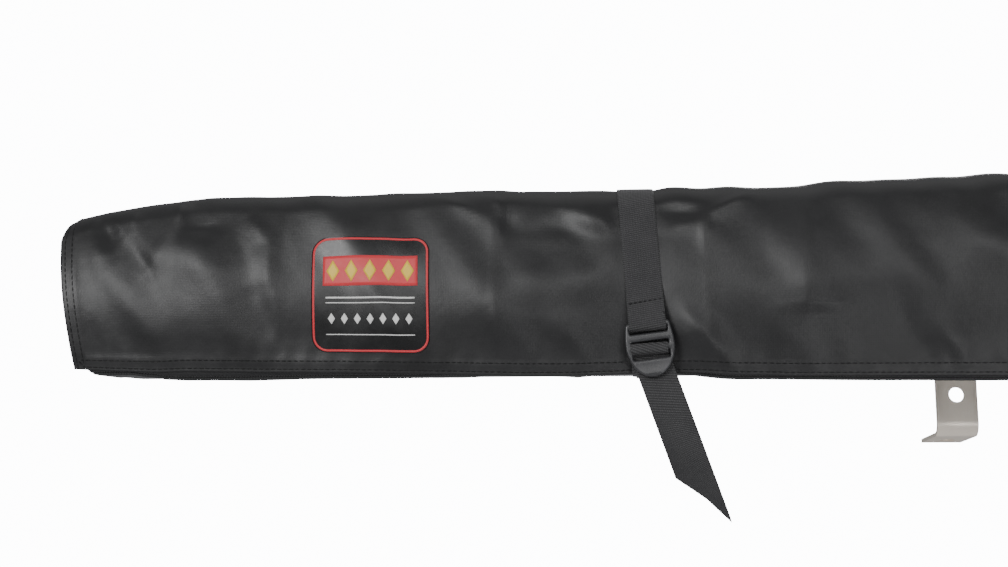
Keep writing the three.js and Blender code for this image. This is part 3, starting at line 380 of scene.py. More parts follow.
def startMaterial(name, **uniform):
    # a material with its one-value sockets set; also gives its Object and its UV coordinates
    material = bpy.data.materials.new(name)
    material.use_nodes = True
    tree = material.node_tree
    shader = tree.nodes["Principled BSDF"]
    for key, value in uniform.items():
        shader.inputs[key].default_value = value
    places = tree.nodes.new("ShaderNodeTexCoord")
    return material, tree, shader, places.outputs["Object"], places.outputs["UV"]


def spreadOver(tree, shader, mask, colours, glossMask=None, rough=None, ends=(0.3, 0.7)):
    # two colours and two roughness values, each pair spread over the usual reach of a mask
    tree.links.new(ramp(tree, mask, ends, colours), shader.inputs["Base Color"])
    if rough:
        reach = node(tree, "MapRange", {"Value": glossMask or mask, 1: 0.3, 2: 0.7, 3: rough[0], 4: rough[1]})
        tree.links.new(reach.outputs[0], shader.inputs["Roughness"])


def bump(tree, shader, layers):
    # layers are (height, distance in millimetres), the first one nearest the surface
    normal = None
    for height, distance in layers:
        sockets = {"Height": height, "Distance": distance * metres, "Strength": 1.0}
        if normal is not None:
            sockets["Normal"] = normal
        normal = node(tree, "Bump", sockets).outputs["Normal"]
    tree.links.new(normal, shader.inputs["Normal"])


def clothMaterial(name, dark, light, rough, pitch, depth):
    # the weave with fine grain and slow unevenness under it
    material, tree, shader, here, surface = startMaterial(name, **{"Specular IOR Level": 0.5})
    mask = useGroup(tree, "patches", Vector=here, Scale=14.0)
    spreadOver(tree, shader, mask, (dark, light), rough=rough, ends=(0.32, 0.68))
    weave = useGroup(tree, "weave", Vector=surface, Pitch=pitch * metres)
    grain, slow = noise(tree, here, 900.0, 2.0), noise(tree, here, 55.0, 3.0)
    bump(tree, shader, [(weave, depth), (grain, 0.02), (slow, 0.35)])
    return material


def webbingMaterial(name, rib, column, step, slant, grooveShadeAndThread=((0.012, 0.012, 0.013), (0.062, 0.061, 0.064))):
    # ribs painted from dark shade in their hollows to the thread's own colour on their crests, made duller or
    # brighter by slow patches
    material, tree, shader, here, surface = startMaterial(name, **{"Roughness": 0.62, "Sheen Weight": 0.15})
    ribs = useGroup(tree, "ribs", Vector=surface, Rib=rib * metres, Column=column * metres,
                    Step=step, Slant=slant)
    mask = useGroup(tree, "patches", Vector=here, Scale=60.0)
    worn = ramp(tree, mask, (0.35, 0.7), ((0.75, 0.75, 0.76), (1.1, 1.09, 1.08)))
    # the rib's height sets the colour: painted shade in the hollows, the thread's own colour on the crests
    both = {0: 1.0, 6: ramp(tree, ribs, (0.0, 0.9), grooveShadeAndThread), 7: worn}
    product = node(tree, "Mix", both, data_type="RGBA", blend_type="MULTIPLY")
    tree.links.new(product.outputs[2], shader.inputs["Base Color"])
    bump(tree, shader, [(ribs, 0.28)])
    return material


def mouldedMaterial(name, colour, rough, grain=0.03, grainScale=500.0, uneven=0.22):
    # moulded or printed: its colour and gloss wander by a share, over a fine grain
    material, tree, shader, here, _ = startMaterial(name)
    mask = useGroup(tree, "patches", Vector=here, Scale=45.0)
    colours = [[min(1, v * share) for v in colour] for share in (1 - uneven, 1 + uneven)]
    spreadOver(tree, shader, mask, colours, rough=(rough * 0.8, rough * 1.25))
    bump(tree, shader, [(noise(tree, here, grainScale, 2.0), grain)])
    return material


def metalMaterial(name, colours, rough, stretch, scale=40.0, depth=0.01, patchy=0.5, metal=1.0):
    # drawn lines set the gloss; the colour follows them and slow patches by equal parts
    material, tree, shader, here, _ = startMaterial(name, **{"Metallic": metal})
    lines = useGroup(tree, "lines", Vector=here, Stretch=stretch, Scale=scale)
    mask = useGroup(tree, "patches", Vector=here, Scale=30.0)
    spreadOver(tree, shader, mixed(tree, patchy, lines, mask), colours, lines, rough)
    bump(tree, shader, [(lines, depth)])
    return material


finish = {
    # name, dark, light, roughness, pitch and depth of the weave
    "cover": clothMaterial("coatedCloth", (0.009, 0.009, 0.0095), (0.015, 0.015, 0.016),
                           (0.36, 0.46), 1.15, 0.02),
    "lining": clothMaterial("clothInside", (0.030, 0.030, 0.032), (0.045, 0.045, 0.047),
                            (0.5, 0.62), 1.4, 0.09),
    "tape": clothMaterial("wovenTape", (0.012, 0.012, 0.013), (0.022, 0.022, 0.023), (0.6, 0.75), 0.8, 0.12),
    "canopy": clothMaterial("ripstop", (0.20, 0.20, 0.19), (0.26, 0.26, 0.245), (0.55, 0.68), 1.0, 0.06),
    # name, rib, column, step, slant
    "webbing": webbingMaterial("stripWebbing", 1.4, 1.7, 0.14, 0.1),
    "webbingTwill": webbingMaterial("tailWebbing", 1.9, 1.4, -0.3, -0.24),
    # name, colour, roughness, grain and its scale, unevenness
    "thread": mouldedMaterial("sewingThread", (0.003, 0.003, 0.0035), 0.75),
    "buckle": mouldedMaterial("buckleResin", (0.040, 0.040, 0.043), 0.28, 0.01),
    "coil": mouldedMaterial("nylonCoil", (0.014, 0.014, 0.015), 0.35),
    "fitting": mouldedMaterial("mouldedNylon", (0.018, 0.018, 0.019), 0.45, 0.05),
    "rubber": mouldedMaterial("footRubber", (0.016, 0.016, 0.016), 0.7, 0.08),
    "patchBlack": mouldedMaterial("badgeBlack", (0.006, 0.006, 0.0065), 0.26, 0.008, 900.0),
    "patchRed": mouldedMaterial("badgeRed", (0.70, 0.045, 0.055), 0.42, 0.008, 900.0, 0.06),
    "patchYellow": mouldedMaterial("badgeYellow", (0.88, 0.60, 0.06), 0.42, 0.008, 900.0, 0.06),
    "patchWhite": mouldedMaterial("badgeWhite", (0.82, 0.82, 0.80), 0.42, 0.008, 900.0, 0.05),
    # name, colours, roughness, stretch and scale of the lines
    "aluminium": metalMaterial("drawnAluminium", ((0.52, 0.53, 0.55), (0.70, 0.71, 0.73)),
                               (0.26, 0.4), (1, 60, 60)),
    "steel": metalMaterial("brushedSteel", ((0.92, 0.82, 0.70), (1.0, 0.93, 0.83)), (0.34, 0.48),
                           (60, 60, 1.5), 30.0, metal=0.8),
    "zinc": metalMaterial("zincPlate", ((0.50, 0.50, 0.47), (0.72, 0.72, 0.70)),
                          (0.3, 0.48), (8, 8, 8), 90.0),
}
print("finishes made")


# The frame's own slots and bodies, and the finish of each slot
slotFinish = {
    "aluminium": "aluminium", "bracket_steel": "steel", "zinc": "zinc", "cover_cloth": "cover",
    "zip_coil": "coil", "webbing": "webbing", "buckle_plastic": "buckle", "fitting_plastic": "fitting",
    "foot_rubber": "rubber", "canopy_cloth": "lining",
}
slotOf = {part["node"]: part["material_slot"] for part in frame["record"]["subparts"]}
bodyOf = {name: body for body, names in frame["record"]["behaviour"]["bodies"].items() for name in names}


def box(name):
    # the low and the high corner of a frame node
    return np.array([list(corner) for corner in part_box(name)]) / metres


def standIn(nodeName, name, mesh, look=None, sharp=None, rides=True):
    # a piece that takes a frame node's place, on the node's own body, with the finish of the node's slot
    # unless another is given
    if sharp:
        mesh.set_sharp_from_angle(angle=math.radians(sharp))
    slotName = slotOf[nodeName]
    body = bodyOf[nodeName] if rides else None
    return addPiece(name, mesh, body, finish[look or slotFinish[slotName]], [nodeName])


# Cover. Its section runs from the rear edge over the top, round the corner and down to the hem.
cover = {
    "halfLength": 1031, "back": 6, "rearHeight": 151.2, "depth": 119, "top": 162, "hem": 33,
    "corner": 22, "bulge": 6.4, "tuck": 0.3, "startSlope": 0.18,
    "droop": 17, "droopSpan": 130, "droopPower": 1.6, "lean": 19, "leanPower": 1.3, "lift": 3.5,
    "notch": 0.3, "notchHeight": 128, "wall": 1.3, "topRows": 28, "cornerRows": 14, "frontRows": 38,
    "innerEnd": 1010, "measuredTo": -350, "fineStep": 2.5, "wideStep": 4.1,
    "hemBand": 9.4, "endBand": 12.0, "bandTop": 150, "bandRise": 0.4,
    "stitchLow": 2.2, "stitchHigh": 7.5, "endStitches": (3.4, 8.6), "seamDip": 0.35, "seamWide": 0.8,
    "strapPlaces": (-623, 0, 623), "strapLean": 0.073, "strapPress": 3.2, "flatWide": 19, "pressWide": 24,
    "edge": 1.2, "cutWidth": 0.236, "cutLength": 2.066, "cutShare": 0.99,
}
# how far the top swells and the hem sags along the length: (place, swell, sag)
coverSwell = np.array([
    (-1031, 0.5, -0.4), (-1000, 2.2, -0.6), (-985, 2.0, -0.9), (-961, 0.6, -1.3), (-938, 2.3, -1.7),
    (-903, 2.1, -1.2), (-879, 1.6, -0.7), (-856, 0.1, -0.5), (-833, 1.0, -0.2), (-800, 1.2, 0.4),
    (-780, 0.3, 0.8), (-755, 2.0, 1.4), (-719, 4.7, 2.4), (-700, 3.6, 2.9), (-668, 0.0, 2.9),
    (-645, 0.9, 2.4), (-623, 0.9, 1.9), (-585, 1.6, 1.6), (-550, 2.8, 3.3), (-511, 3.8, 4.1),
    (-372, 7.8, 4.7), (-260, 6.8, 3.8), (-100, 3.2, 2.6), (0, 0.4, 1.2), (90, 2.4, 1.8),
    (300, 6.0, 2.2), (470, 4.4, 1.8), (623, 0.4, -0.4), (720, 2.2, 1.2), (880, 0.5, 0.6), (1031, 0, 0),
])
# how far the chain and the edge of the bottom panel wander up and down along the front
hemWander = np.array([
    (-1031, 4.6), (-1003, 4.4), (-976, 4.4), (-960, 2.8), (-948, 0.9), (-934, 0.3), (-903, 0.3),
    (-860, 0.7), (-836, 0.9), (-771, 1.0), (-740, 1.9), (-700, 4.2), (-648, 5.6), (-610, 3.6),
    (-554, -1.2), (-449, -2.4), (-384, -2.9), (-200, -1.8), (-40, 2.6), (40, 2.4), (200, -1.2),
    (420, -0.8), (600, 2.6), (650, 2.2), (700, 0.4), (860, -0.3), (940, 0), (985, 1.2), (1031, 2.6),
])


def coverColumns(c):
    # places along the length: close together where the folds were measured, and set ones at the ends
    ends = np.array([0, 1.2, *c["endStitches"], 5.6, 10.4, c["endBand"]])
    inner = np.concatenate([np.arange(-c["innerEnd"], c["measuredTo"], c["fineStep"]),
                            np.arange(c["measuredTo"], c["innerEnd"], c["wideStep"])])
    return np.unique(np.concatenate([ends - c["halfLength"], inner, c["halfLength"] - ends]))


def coverRows(c):
    # shares of the front run measured up from the hem, with set rows for the hem band and stitches
    span = c["top"] - c["corner"] - c["hem"]
    band = (c["hemBand"], c["hemBand"] + c["edge"])
    low = np.array([0, 1.1, c["stitchLow"], 4.8, c["stitchHigh"], *band, 14.5])
    rest = np.linspace(low[-1] / span, 1, c["frontRows"] - len(low) + 2)[1:]
    return np.concatenate([low / span, rest])


def endFade(c, x, span):
    # from nothing at a span away from either end to one at the end
    return np.clip(1 - (c["halfLength"] - np.abs(x)) / span, 0, 1)


def coverSection(c, x):
    # y and z of every row at each x, from the rear edge to the hem: a top that rises steeply and then
    # levels, a round corner, and a front that bellies out by a sine and is tucked in at its foot
    swell, sag = eased(x, coverSwell[:, :2]), eased(x, coverSwell[:, ::2])
    droop = c["droop"] * endFade(c, x, c["droopSpan"]) ** c["droopPower"]
    top = c["top"] + swell - droop
    hem = c["hem"] + c["lift"] * endFade(c, x, c["droopSpan"] / 2) - sag
    f = np.linspace(0, 1, c["topRows"], endpoint=False)[:, None]
    topY = -c["back"] + (c["corner"] - c["depth"] + c["back"]) * f + 0 * x
    rise = 1 - (1 - f) ** 6
    topZ = c["rearHeight"] + (top + droop - c["rearHeight"]) * rise - droop * f
    # the corner's arc stops short of upright by the slope that the front's belly starts with
    turn = np.pi / 2 - c["startSlope"]
    a = np.linspace(0, turn, c["cornerRows"], endpoint=False)[:, None]
    cornerY = c["corner"] - c["depth"] - c["corner"] * np.sin(a) / math.sin(turn) + 0 * x
    cornerZ = top - c["corner"] + c["corner"] * np.cos(a)
    d = 1 - coverRows(c)[::-1][:, None]
    outward = np.sin(np.pi * np.clip(d, 0, 1) ** 0.92) - c["tuck"] * d ** 4
    frontY = -c["depth"] - c["bulge"] * outward + 0 * x
    start = top - c["corner"] * (1 - math.cos(turn))
    frontZ = start + (hem - start) * d
    return np.vstack([topY, cornerY, frontY]), np.vstack([topZ, cornerZ, frontZ])


def coverLean(c, x, z):
    # towards each end the cloth leans in, more the lower it is, and the top corner is nipped in
    fade = endFade(c, x, c["droopSpan"])
    lean = c["lean"] * np.clip((c["top"] - z) / (c["top"] - c["hem"]), 0, 1.1) ** c["leanPower"] * fade
    notch = c["notch"] * np.clip(z - c["notchHeight"], 0, None) * np.clip(fade * 12 - 11, 0, 1)
    return x - np.sign(x) * (lean + notch)


# Folds: each from one place to another, as (x, up) with up measured over the cloth from the hem,
# its width on the left and on the right, and its height, below zero for a groove
measuredFolds = [
    (-979, 116, -976, 103, 3, 5, 1.1), (-1000, 112, -990, 84, 9, 7, -2.2), (-984, 96, -963, 70, 8, 5, -2.4),
    (-996, 118, -966, 70, 6, 3, 0.9), (-950, 96, -962, 72, 9, 9, 1.0), (-944, 122, -940, 104, 3.2, 7, 1.9),
    (-937, 118, -938, 97, 4, 8, -2.2), (-940, 99, -915, 104, 6, 5, -1.5), (-1010, 88, -948, 80, 14, 14, 1.2),
    (-948, 80, -880, 62, 13, 15, 1.4), (-894, 112, -877, 92, 7, 8, 1.9), (-877, 92, -873, 55, 9, 8, 1.6),
    (-904, 104, -884, 60, 12, 9, -1.5), (-866, 122, -871, 56, 3, 5, -0.4), (-871, 56, -870, 14, 3, 4, 0.6),
    (-896, 60, -874, 20, 18, 16, -1.8), (-842, 66, -800, 20, 20, 20, -1), (-835, 112, -800, 96, 16, 14, 0.9),
    (-764, 128, -721, 109, 8, 5, 1.9), (-721, 109, -716, 96, 5, 5, 1.2), (-719, 128, -717, 116, 2.6, 5, 1.8),
    (-709, 116, -710, 95, 7, 6, -2.6), (-700, 100, -670, 106, 8, 7, -1.0), (-721, 96, -716, 12, 3.4, 5, 0.7),
    (-760, 92, -735, 40, 18, 18, -0.9), (-672, 118, -636, 101, 10, 9, 2.6), (-680, 104, -634, 92, 8, 8, -1.4),
    (-674, 34, -655, 10, 6, 7, 1.5), (-690, 40, -684, 8, 8, 8, -0.8), (-613, 116, -576, 109, 5, 6, -2.2),
    (-576, 109, -547, 126, 5, 4, 2.2), (-576, 109, -576, 88, 3.6, 4, 1.6), (-576, 109, -555, 96, 8, 8, -0.5),
    (-597, 100, -578, 106, 7, 7, 1.2), (-576, 88, -574, 18, 3, 5, 0.6), (-547, 58, -438, 70, 20, 20, 1.6),
    (-525, 46, -484, 50, 4, 4, 1.1), (-413, 92, -376, 84, 26, 16, 2.0), (-518, 44, -484, 38, 6, 6, -0.8),
    (-493, 112, -462, 84, 9, 10, -0.5), (-466, 124, -449, 70, 9, 12, 0.6), (-446, 78, -422, 10, 10, 9, 1.0),
    (-456, 66, -436, 14, 10, 8, -0.8), (-416, 118, -395, 92, 8, 9, 0.8), (-407, 92, -385, 40, 10, 9, -0.8),
]
# broad facets, written in the same way, and whether the line that they meet in is sharp
measuredFacets = [
    (-509, 138, -509, 20, 30, 90, 5.0, True), (-722, 68, -628, 64, 24, 24, 2.1, False),
    (-597, 50, -543, -14, 22, 17, 5.2, True), (-432, 44, -398, -2, 20, 14, 2.6, True),
    (-940, 100, -868, 72, 26, 30, 1.1, False), (-790, 44, -630, 40, 30, 40, 1.7, False),
    (-985, 42, -830, 40, 30, 40, 1.2, False),
]
drawnFolds = {"seed": 41, "creases": 74, "pockets": 26, "slow": 22, "from": -350, "to": 1000}
# slow unevenness: the height of each wave, its length along the bag and up it, and its phase
waves = (
    (0.9, 190, 300, 0.3), (0.7, 97, 170, 1.9), (0.45, 61, 90, 4.1), (0.35, 143, 64, 2.7), (0.25, 37, 55, 5.2))


def inventedFolds(s):
    # the same kinds of fold, by seeded draw, over the length to the right, the top and the back
    draw = np.random.default_rng(s["seed"])
    folds = []
    for _ in range(s["pockets"]):
        x, up = draw.uniform(s["from"], s["to"]), draw.uniform(98, 122)
        reach, drop = draw.uniform(14, 42) * draw.choice([-1, 1]), draw.uniform(16, 46)
        width = draw.uniform(3.0, 6.5)
        folds.append((x, up, x + reach, up - drop, width, width * 1.7, draw.uniform(1.1, 2.3)))
        folds.append((x - 9, up - 4, x + reach * 0.8, up - drop, width * 1.8, width, -draw.uniform(1.2, 2.4)))
    for _ in range(s["creases"]):
        x, up = draw.uniform(s["from"], s["to"]), draw.uniform(8, 224)
        angle, reach = draw.normal(np.pi / 2, 0.5), draw.uniform(16, 60)
        width = draw.uniform(2.6, 7.5)
        height = draw.uniform(0.5, 1.5) * draw.choice([-1, 1])
        end = x + reach * np.cos(angle), up - reach * np.sin(angle)
        folds.append((x, up, *end, width, width * 1.5, height))
    for _ in range(s["slow"]):
        x, up = draw.uniform(-s["to"], s["to"]), draw.uniform(130, 228)
        reach = draw.uniform(-70, 70)
        folds.append((x, up, x + reach, up - draw.uniform(0, 50), 14, 18, draw.uniform(-1.9, 1.4)))
    return folds


def foldHeight(x, up, folds):
    # the nearest place on each fold's line gives the distance; the height falls off from the line by
    # a rounded peak whose width differs left and right, and fades towards the line's ends
    total = np.zeros(np.broadcast(x, up).shape)
    for x0, up0, x1, up1, left, right, height in folds:
        dx, du = x1 - x0, up1 - up0
        t = np.clip(((x - x0) * dx + (up - up0) * du) / (dx * dx + du * du), 0, 1)
        away = np.hypot(x - x0 - t * dx, up - up0 - t * du)
        width = np.where((x - x0) * du > (up - up0) * dx, left, right)
        crest = np.exp(-(np.sqrt((away / width) ** 2 + 0.2) - 0.447) * 1.35)
        total += height * crest * (0.4 + 0.6 * np.sin(np.pi * np.clip(t, 0.04, 0.96)))
    return total


def facetHeight(x, up, facets):
    # as a fold, but each side is one broad slope from the line down to nothing at its width
    total = np.zeros(np.broadcast(x, up).shape)
    for x0, up0, x1, up1, left, right, height, sharp in facets:
        dx, du = x1 - x0, up1 - up0
        t = ((x - x0) * dx + (up - up0) * du) / (dx * dx + du * du)
        side = ((x - x0) * du - (up - up0) * dx) / math.hypot(dx, du)
        share = np.clip(1 - np.abs(side) / np.where(side > 0, left, right), 0, 1)
        ends = np.clip(np.minimum(t, 1 - t) * 2.6 + 0.1, 0, 1)
        total += height * (share ** 1.3 if sharp else smooth(share)) * smooth(ends)
    return total


def coverPush(c, x, up, span):
    # how far the cloth stands out from its plain section: folds, facets and waves that fade towards
    # the ends, the hem and the rear edge and lie flat under a strap, less the strap's own press; then
    # the doubled bands, dipped along each seam, and a fine pucker above the hem
    folds = foldHeight(x, up, measuredFolds + inventedFolds(drawnFolds))
    slow = sum(a * np.sin(2 * np.pi * (x / wide + up / tall) + phase) for a, wide, tall, phase in waves)
    push = folds + facetHeight(x, up, measuredFacets) + slow
    fromEnd = c["halfLength"] - np.abs(x)
    push *= np.clip(fromEnd / 26, 0, 1) * 0.85 + 0.15
    push *= np.clip(up / 26, 0.12, 1) * np.clip((span - up) / 18, 0, 1)
    lean = c["strapLean"] * np.clip(c["top"] - c["hem"] - up, 0, None)
    nearest = np.min([np.abs(x - p - lean) for p in c["strapPlaces"]], 0)
    held = np.clip((c["top"] - c["hem"] - 4 - up) / 30, 0.15, 1)
    push *= 1 - np.exp(-(nearest / c["flatWide"]) ** 4)
    push -= c["strapPress"] * held * np.exp(-(nearest / c["pressWide"]) ** 2)
    inBand = np.clip((c["hemBand"] + c["edge"] - up) / 1.6, 0, 1)
    endBand = np.clip((c["endBand"] - fromEnd) / 1.6, 0, 1) * (up < c["bandTop"])
    push += c["bandRise"] * np.maximum(inBand, endBand)
    for row in (c["stitchLow"], c["stitchHigh"]):
        pulled = 0.75 + 0.25 * np.sin(x * 2 * np.pi / 8.4)
        push -= c["seamDip"] * np.exp(-((up - row) / c["seamWide"]) ** 2) * pulled
    for column in c["endStitches"]:
        push -= c["seamDip"] * np.exp(-((fromEnd - column) / c["seamWide"]) ** 2) * (up < c["bandTop"])
    return push + 0.22 * np.sin(x * 2 * np.pi / 17 + np.sin(x / 23) * 2) * np.exp(-((up - 11) / 8) ** 2)


def coverShell(c):
    # outer rows from the rear edge to the hem, then every second row back on the inside
    x = coverColumns(c)
    y, z = coverSection(c, x)
    way = unitVectors(np.stack([np.gradient(y, axis=0), np.gradient(z, axis=0)], -1))
    steps = np.hypot(np.diff(y, axis=0), np.diff(z, axis=0))
    along = np.vstack([np.zeros_like(x)[None], np.cumsum(steps, 0)])
    up = along[-1] - along
    push = coverPush(c, x[None] + 0 * up, up, along[-1])
    outer, inner = (np.stack([coverLean(c, x, z), y + way[..., 1] * off, z - way[..., 0] * off], -1)
                    for off in (push, push - c["wall"]))
    back, backUp = inner[::-1][::2], up[::-1][::2]
    if len(up) % 2 == 0:
        back, backUp = np.concatenate([back, inner[:1]]), np.concatenate([backUp, up[:1]])
    rows, columns = len(up) + len(back), len(x)
    uv = np.stack([np.broadcast_to(x, (rows, columns)), np.concatenate([up, backUp])], -1)
    edge = np.arange(rows) * columns
    faces = [gridFaces(rows, columns, aroundRows=True)[:, ::-1], edge[::-1][None], (edge + columns - 1)[None]]
    return makeMesh("coverFront", np.concatenate([outer, back]), faces, uv), outer, x, up


coverMesh, coverSkin, coverX, coverUp = coverShell(cover)
coverPiece = standIn("cover_front", "cover_shell", coverMesh, rides=False)
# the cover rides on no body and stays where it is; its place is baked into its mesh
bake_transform(coverPiece)
print("cover shaped")


# Sewing: thread beads sunk halfway into the cloth along rows of its own surface
sewing = {"length": 3.8, "pitch": 4.2, "width": 0.85, "height": 0.55, "sunk": 0.05}


def stitchRow(route, outward, s):
    # a bead in the middle of each pitch, pointing along the route and square to its outward direction
    along = lengthAlong(route)
    count = int(along[-1] // s["pitch"])
    middles = (np.arange(count) + 0.5) * along[-1] / max(count, 1)
    at = lambda values, d: np.stack([np.interp(d, along, values[:, i]) for i in range(3)], -1)
    way = unitVectors(at(route, middles + s["length"] / 2) - at(route, middles - s["length"] / 2))
    up = unitVectors(at(outward, middles))
    up = unitVectors(up - way * (way * up).sum(-1, keepdims=True))
    return at(route, middles) + up * s["sunk"], way, np.cross(up, way), up


def sewPiece(name, rows, body, s):
    # all the rows' beads as one piece of thread
    places, way, across, up = (np.concatenate(part) for part in zip(*rows))
    points, faces = scatter(*bead(s["length"], s["width"], s["height"]), places, way, across, up)
    addPiece(name, makeMesh(name, points, faces), body, finish["thread"])


def facing(direction, count):
    # the same direction for every point of a route
    return np.tile(np.array(direction, float), (count, 1))


# each point's outward direction, square to the rows and the columns
coverNormals = unitVectors(np.cross(np.gradient(coverSkin, axis=0), np.gradient(coverSkin, axis=1)))


def onCover(x, up, off):
    # the cover's surface at each place along it and distance up from the hem, raised by off: the four
    # nearest points mixed by how near they are
    across = np.interp(x, coverX, np.arange(len(coverX)))
    middle = coverUp[:, int(np.searchsorted(coverX, x.mean()))]
    down = np.interp(-up, -middle, np.arange(len(middle)))
    i, j = np.floor(down).astype(int), np.floor(across).astype(int)
    s, t = (down - i)[:, None], (across - j)[:, None]
    row = lambda g, i: g[i, j] * (1 - t) + g[i, j + 1] * t
    skin, normal = (row(g, i) * (1 - s) + row(g, i + 1) * s for g in (coverSkin, coverNormals))
    return skin + unitVectors(normal) * off


def coverStitches(c):
    # two rows along the hem, two down each end, and a slanting run in each lower corner, where the
    # end's seam crosses the hem's
    heights = coverRows(c) * (c["top"] - c["corner"] - c["hem"])
    lastRow = c["topRows"] + c["cornerRows"] + len(heights) - 1
    inside = np.abs(coverX) < c["halfLength"] - 4
    rows = []
    for height in (c["stitchLow"], c["stitchHigh"]):
        row = lastRow - int(np.argmin(np.abs(heights - height)))
        rows.append(stitchRow(coverSkin[row][inside], coverNormals[row][inside], sewing))
    for side in (-1, 1):
        for inset in c["endStitches"]:
            column = int(np.argmin(np.abs(coverX - side * (c["halfLength"] - inset))))
            skin, normals = (values[c["topRows"]:, column] for values in (coverSkin, coverNormals))
            rows.append(stitchRow(skin, normals, sewing))
    share = np.linspace(0, 1, 12)
    near, far = c["endStitches"]
    for side in (-1, 1):
        x = side * (c["halfLength"] - near - share * (far - near))
        slant = onCover(x, c["stitchHigh"] + share * (c["stitchLow"] - c["stitchHigh"]), 0.0)
        rows.append(stitchRow(slant, facing((0, -1, 0), len(slant)), sewing))
    sewPiece("cover_stitching", rows, "lid", sewing)


coverStitches(cover)
print("cover sewn")


# Patch: a printed badge of plain figures sealed to the cover's front. Its own places run across and
# up from its middle. Lozenges are (count, pitch, half width, half height, place up), lines are
# (half length, place up, thickness).
patch = {
    "middle": (-804.5, 54.5), "lean": 0.02, "halfWide": 41, "halfTall": 40.5, "corner": 11, "off": 0.1,
    "film": 0.22, "ink": 0.07, "borderIn": 0.7, "borderWide": 1.5,
    "bandHalf": 33, "bandFrom": 6, "bandTo": 27,
    "large": (5, 13.0, 4.6, 7.6, 16.5), "small": (7, 9.0, 2.5, 3.9, -17.0),
    "lines": ((31, -2.4, 1.2), (31, -6.0, 0.7), (31, -28.0, 0.7)),
}


def lozengeRow(count, pitch, halfWide, halfTall, up):
    # each is a square grid of points turned on its corner
    s, t = np.meshgrid(np.linspace(0, 1, 6), np.linspace(0, 1, 6))
    return [np.stack([(i - (count - 1) / 2) * pitch + (s - t) * halfWide, up + (s + t - 1) * halfTall], -1)
            for i in range(count)]


def flatGrid(up, halfWide, halfTall, rows):
    # a level rectangle of the patch as rows of points
    u, v = np.linspace(-halfWide, halfWide, 30), np.linspace(up - halfTall, up + halfTall, rows)
    return np.stack(np.meshgrid(u, v), -1)


def printedFilm(p, name, grids, low, thick, look, closed=False):
    # flat grids of the patch laid on the cover's surface, then given their thickness
    points, faces, first = [], [], 0
    for grid in grids:
        points.append(grid.reshape(-1, 2))
        faces.append(gridFaces(*grid.shape[:2], closed) + first)
        first += len(points[-1])
    u, v = np.vstack(points).T
    x, up = p["middle"][0] + u - v * p["lean"], p["middle"][1] + v
    mesh = makeMesh(name, onCover(x, up, low + thick), [np.vstack(faces)], np.column_stack([u, v]))
    recalculate(mesh)
    normals = np.empty(len(mesh.polygons) * 3, np.float32)
    mesh.polygons.foreach_get("normal", normals)
    if normals.reshape(-1, 3)[:, 1].mean() > 0:
        mesh.flip_normals()
    piece = addPiece(name, mesh, "lid", finish[look])
    wall = piece.modifiers.new("film", "SOLIDIFY")
    wall.thickness, wall.offset = thick * metres, -1


def buildPatch(p):
    # the field first, then the border and the figures printed on it, and the yellow on the red band
    wide, tall, corner, film, ink = p["halfWide"], p["halfTall"], p["corner"], p["film"], p["ink"]
    # rows of the field narrow by the corner's arc near the top and the foot
    heights = np.concatenate([tall - corner * (1 - np.sin(np.linspace(np.pi / 2, 0, 9))),
                              np.linspace(tall - corner, 0, 18)[1:]])
    heights = np.concatenate([heights, -heights[::-1][1:]])[::-1]
    past = np.clip(np.abs(heights) - tall + corner, 0, corner)
    half = wide - corner + np.sqrt(corner ** 2 - past ** 2)
    field = np.stack([np.linspace(-1, 1, 34)[None] * half[:, None], heights[:, None] + np.zeros((1, 34))], -1)
    printedFilm(p, "patch_field", [field], p["off"], film, "patchBlack")
    edges = []
    for inset in (p["borderIn"], p["borderIn"] + p["borderWide"]):
        edge = roundedBox(inset - wide, wide - inset, inset - tall, tall - inset, corner - inset, 12)
        edge = np.roll(edge, 12, axis=0)
        edges.append(resampled(np.vstack([edge, edge[:1]]), 2.0)[:-1])
    outer, inner = edges
    border = np.stack([outer, inner[np.linspace(0, len(inner) - 1, len(outer)).astype(int)]], 1)
    above = p["off"] + film
    printedFilm(p, "patch_border", [border], above, ink, "patchRed", closed=True)
    bandMiddle, bandHalf = (p["bandFrom"] + p["bandTo"]) / 2, (p["bandTo"] - p["bandFrom"]) / 2
    printedFilm(p, "patch_band", [flatGrid(bandMiddle, p["bandHalf"], bandHalf, 10)], above, ink, "patchRed")
    printedFilm(p, "patch_lozenges", lozengeRow(*p["large"]), above + ink, ink, "patchYellow")
    lines = [flatGrid(up, length, thick / 2, 2) for length, up, thick in p["lines"]]
    printedFilm(p, "patch_white", lozengeRow(*p["small"]) + lines, above, ink, "patchWhite")


buildPatch(patch)
print("patch printed")


# Studio: a pale floor where the feet of the opened legs would stand, and soft light
studio = {
    "floorHeight": -1790, "floorSize": 90000, "floorTones": ((0.80, 0.80, 0.81), (0.84, 0.84, 0.85)),
    "sky": (0.97, 0.98, 1.0), "skyLight": 0.34, "backdrop": 14.0,
    "lamps": [
        # name, place, aim, width, height, watts
        ("lampFront", (-500, -3100, 900), (-500, -119, 95), 3400, 500, 18.5),
        ("lampLeft", (-2050, -2550, 700), (-620, -119, 95), 900, 1000, 29),
        ("lampTop", (-200, -200, 3000), (-200, -60, 100), 3400, 2600, 12),
        ("lampLow", (-100, -2600, -560), (-380, -40, 20), 2600, 500, 0.8),
        ("lampRight", (100, -2550, 1000), (-430, -119, 95), 900, 400, 3),
        ("lampNear", (-40, -1250, -330), (-388, 20, 10), 420, 260, 1.7),
        ("lampBack", (900, 2800, 1500), (0, 0, 100), 2600, 1600, 70),
    ],
}


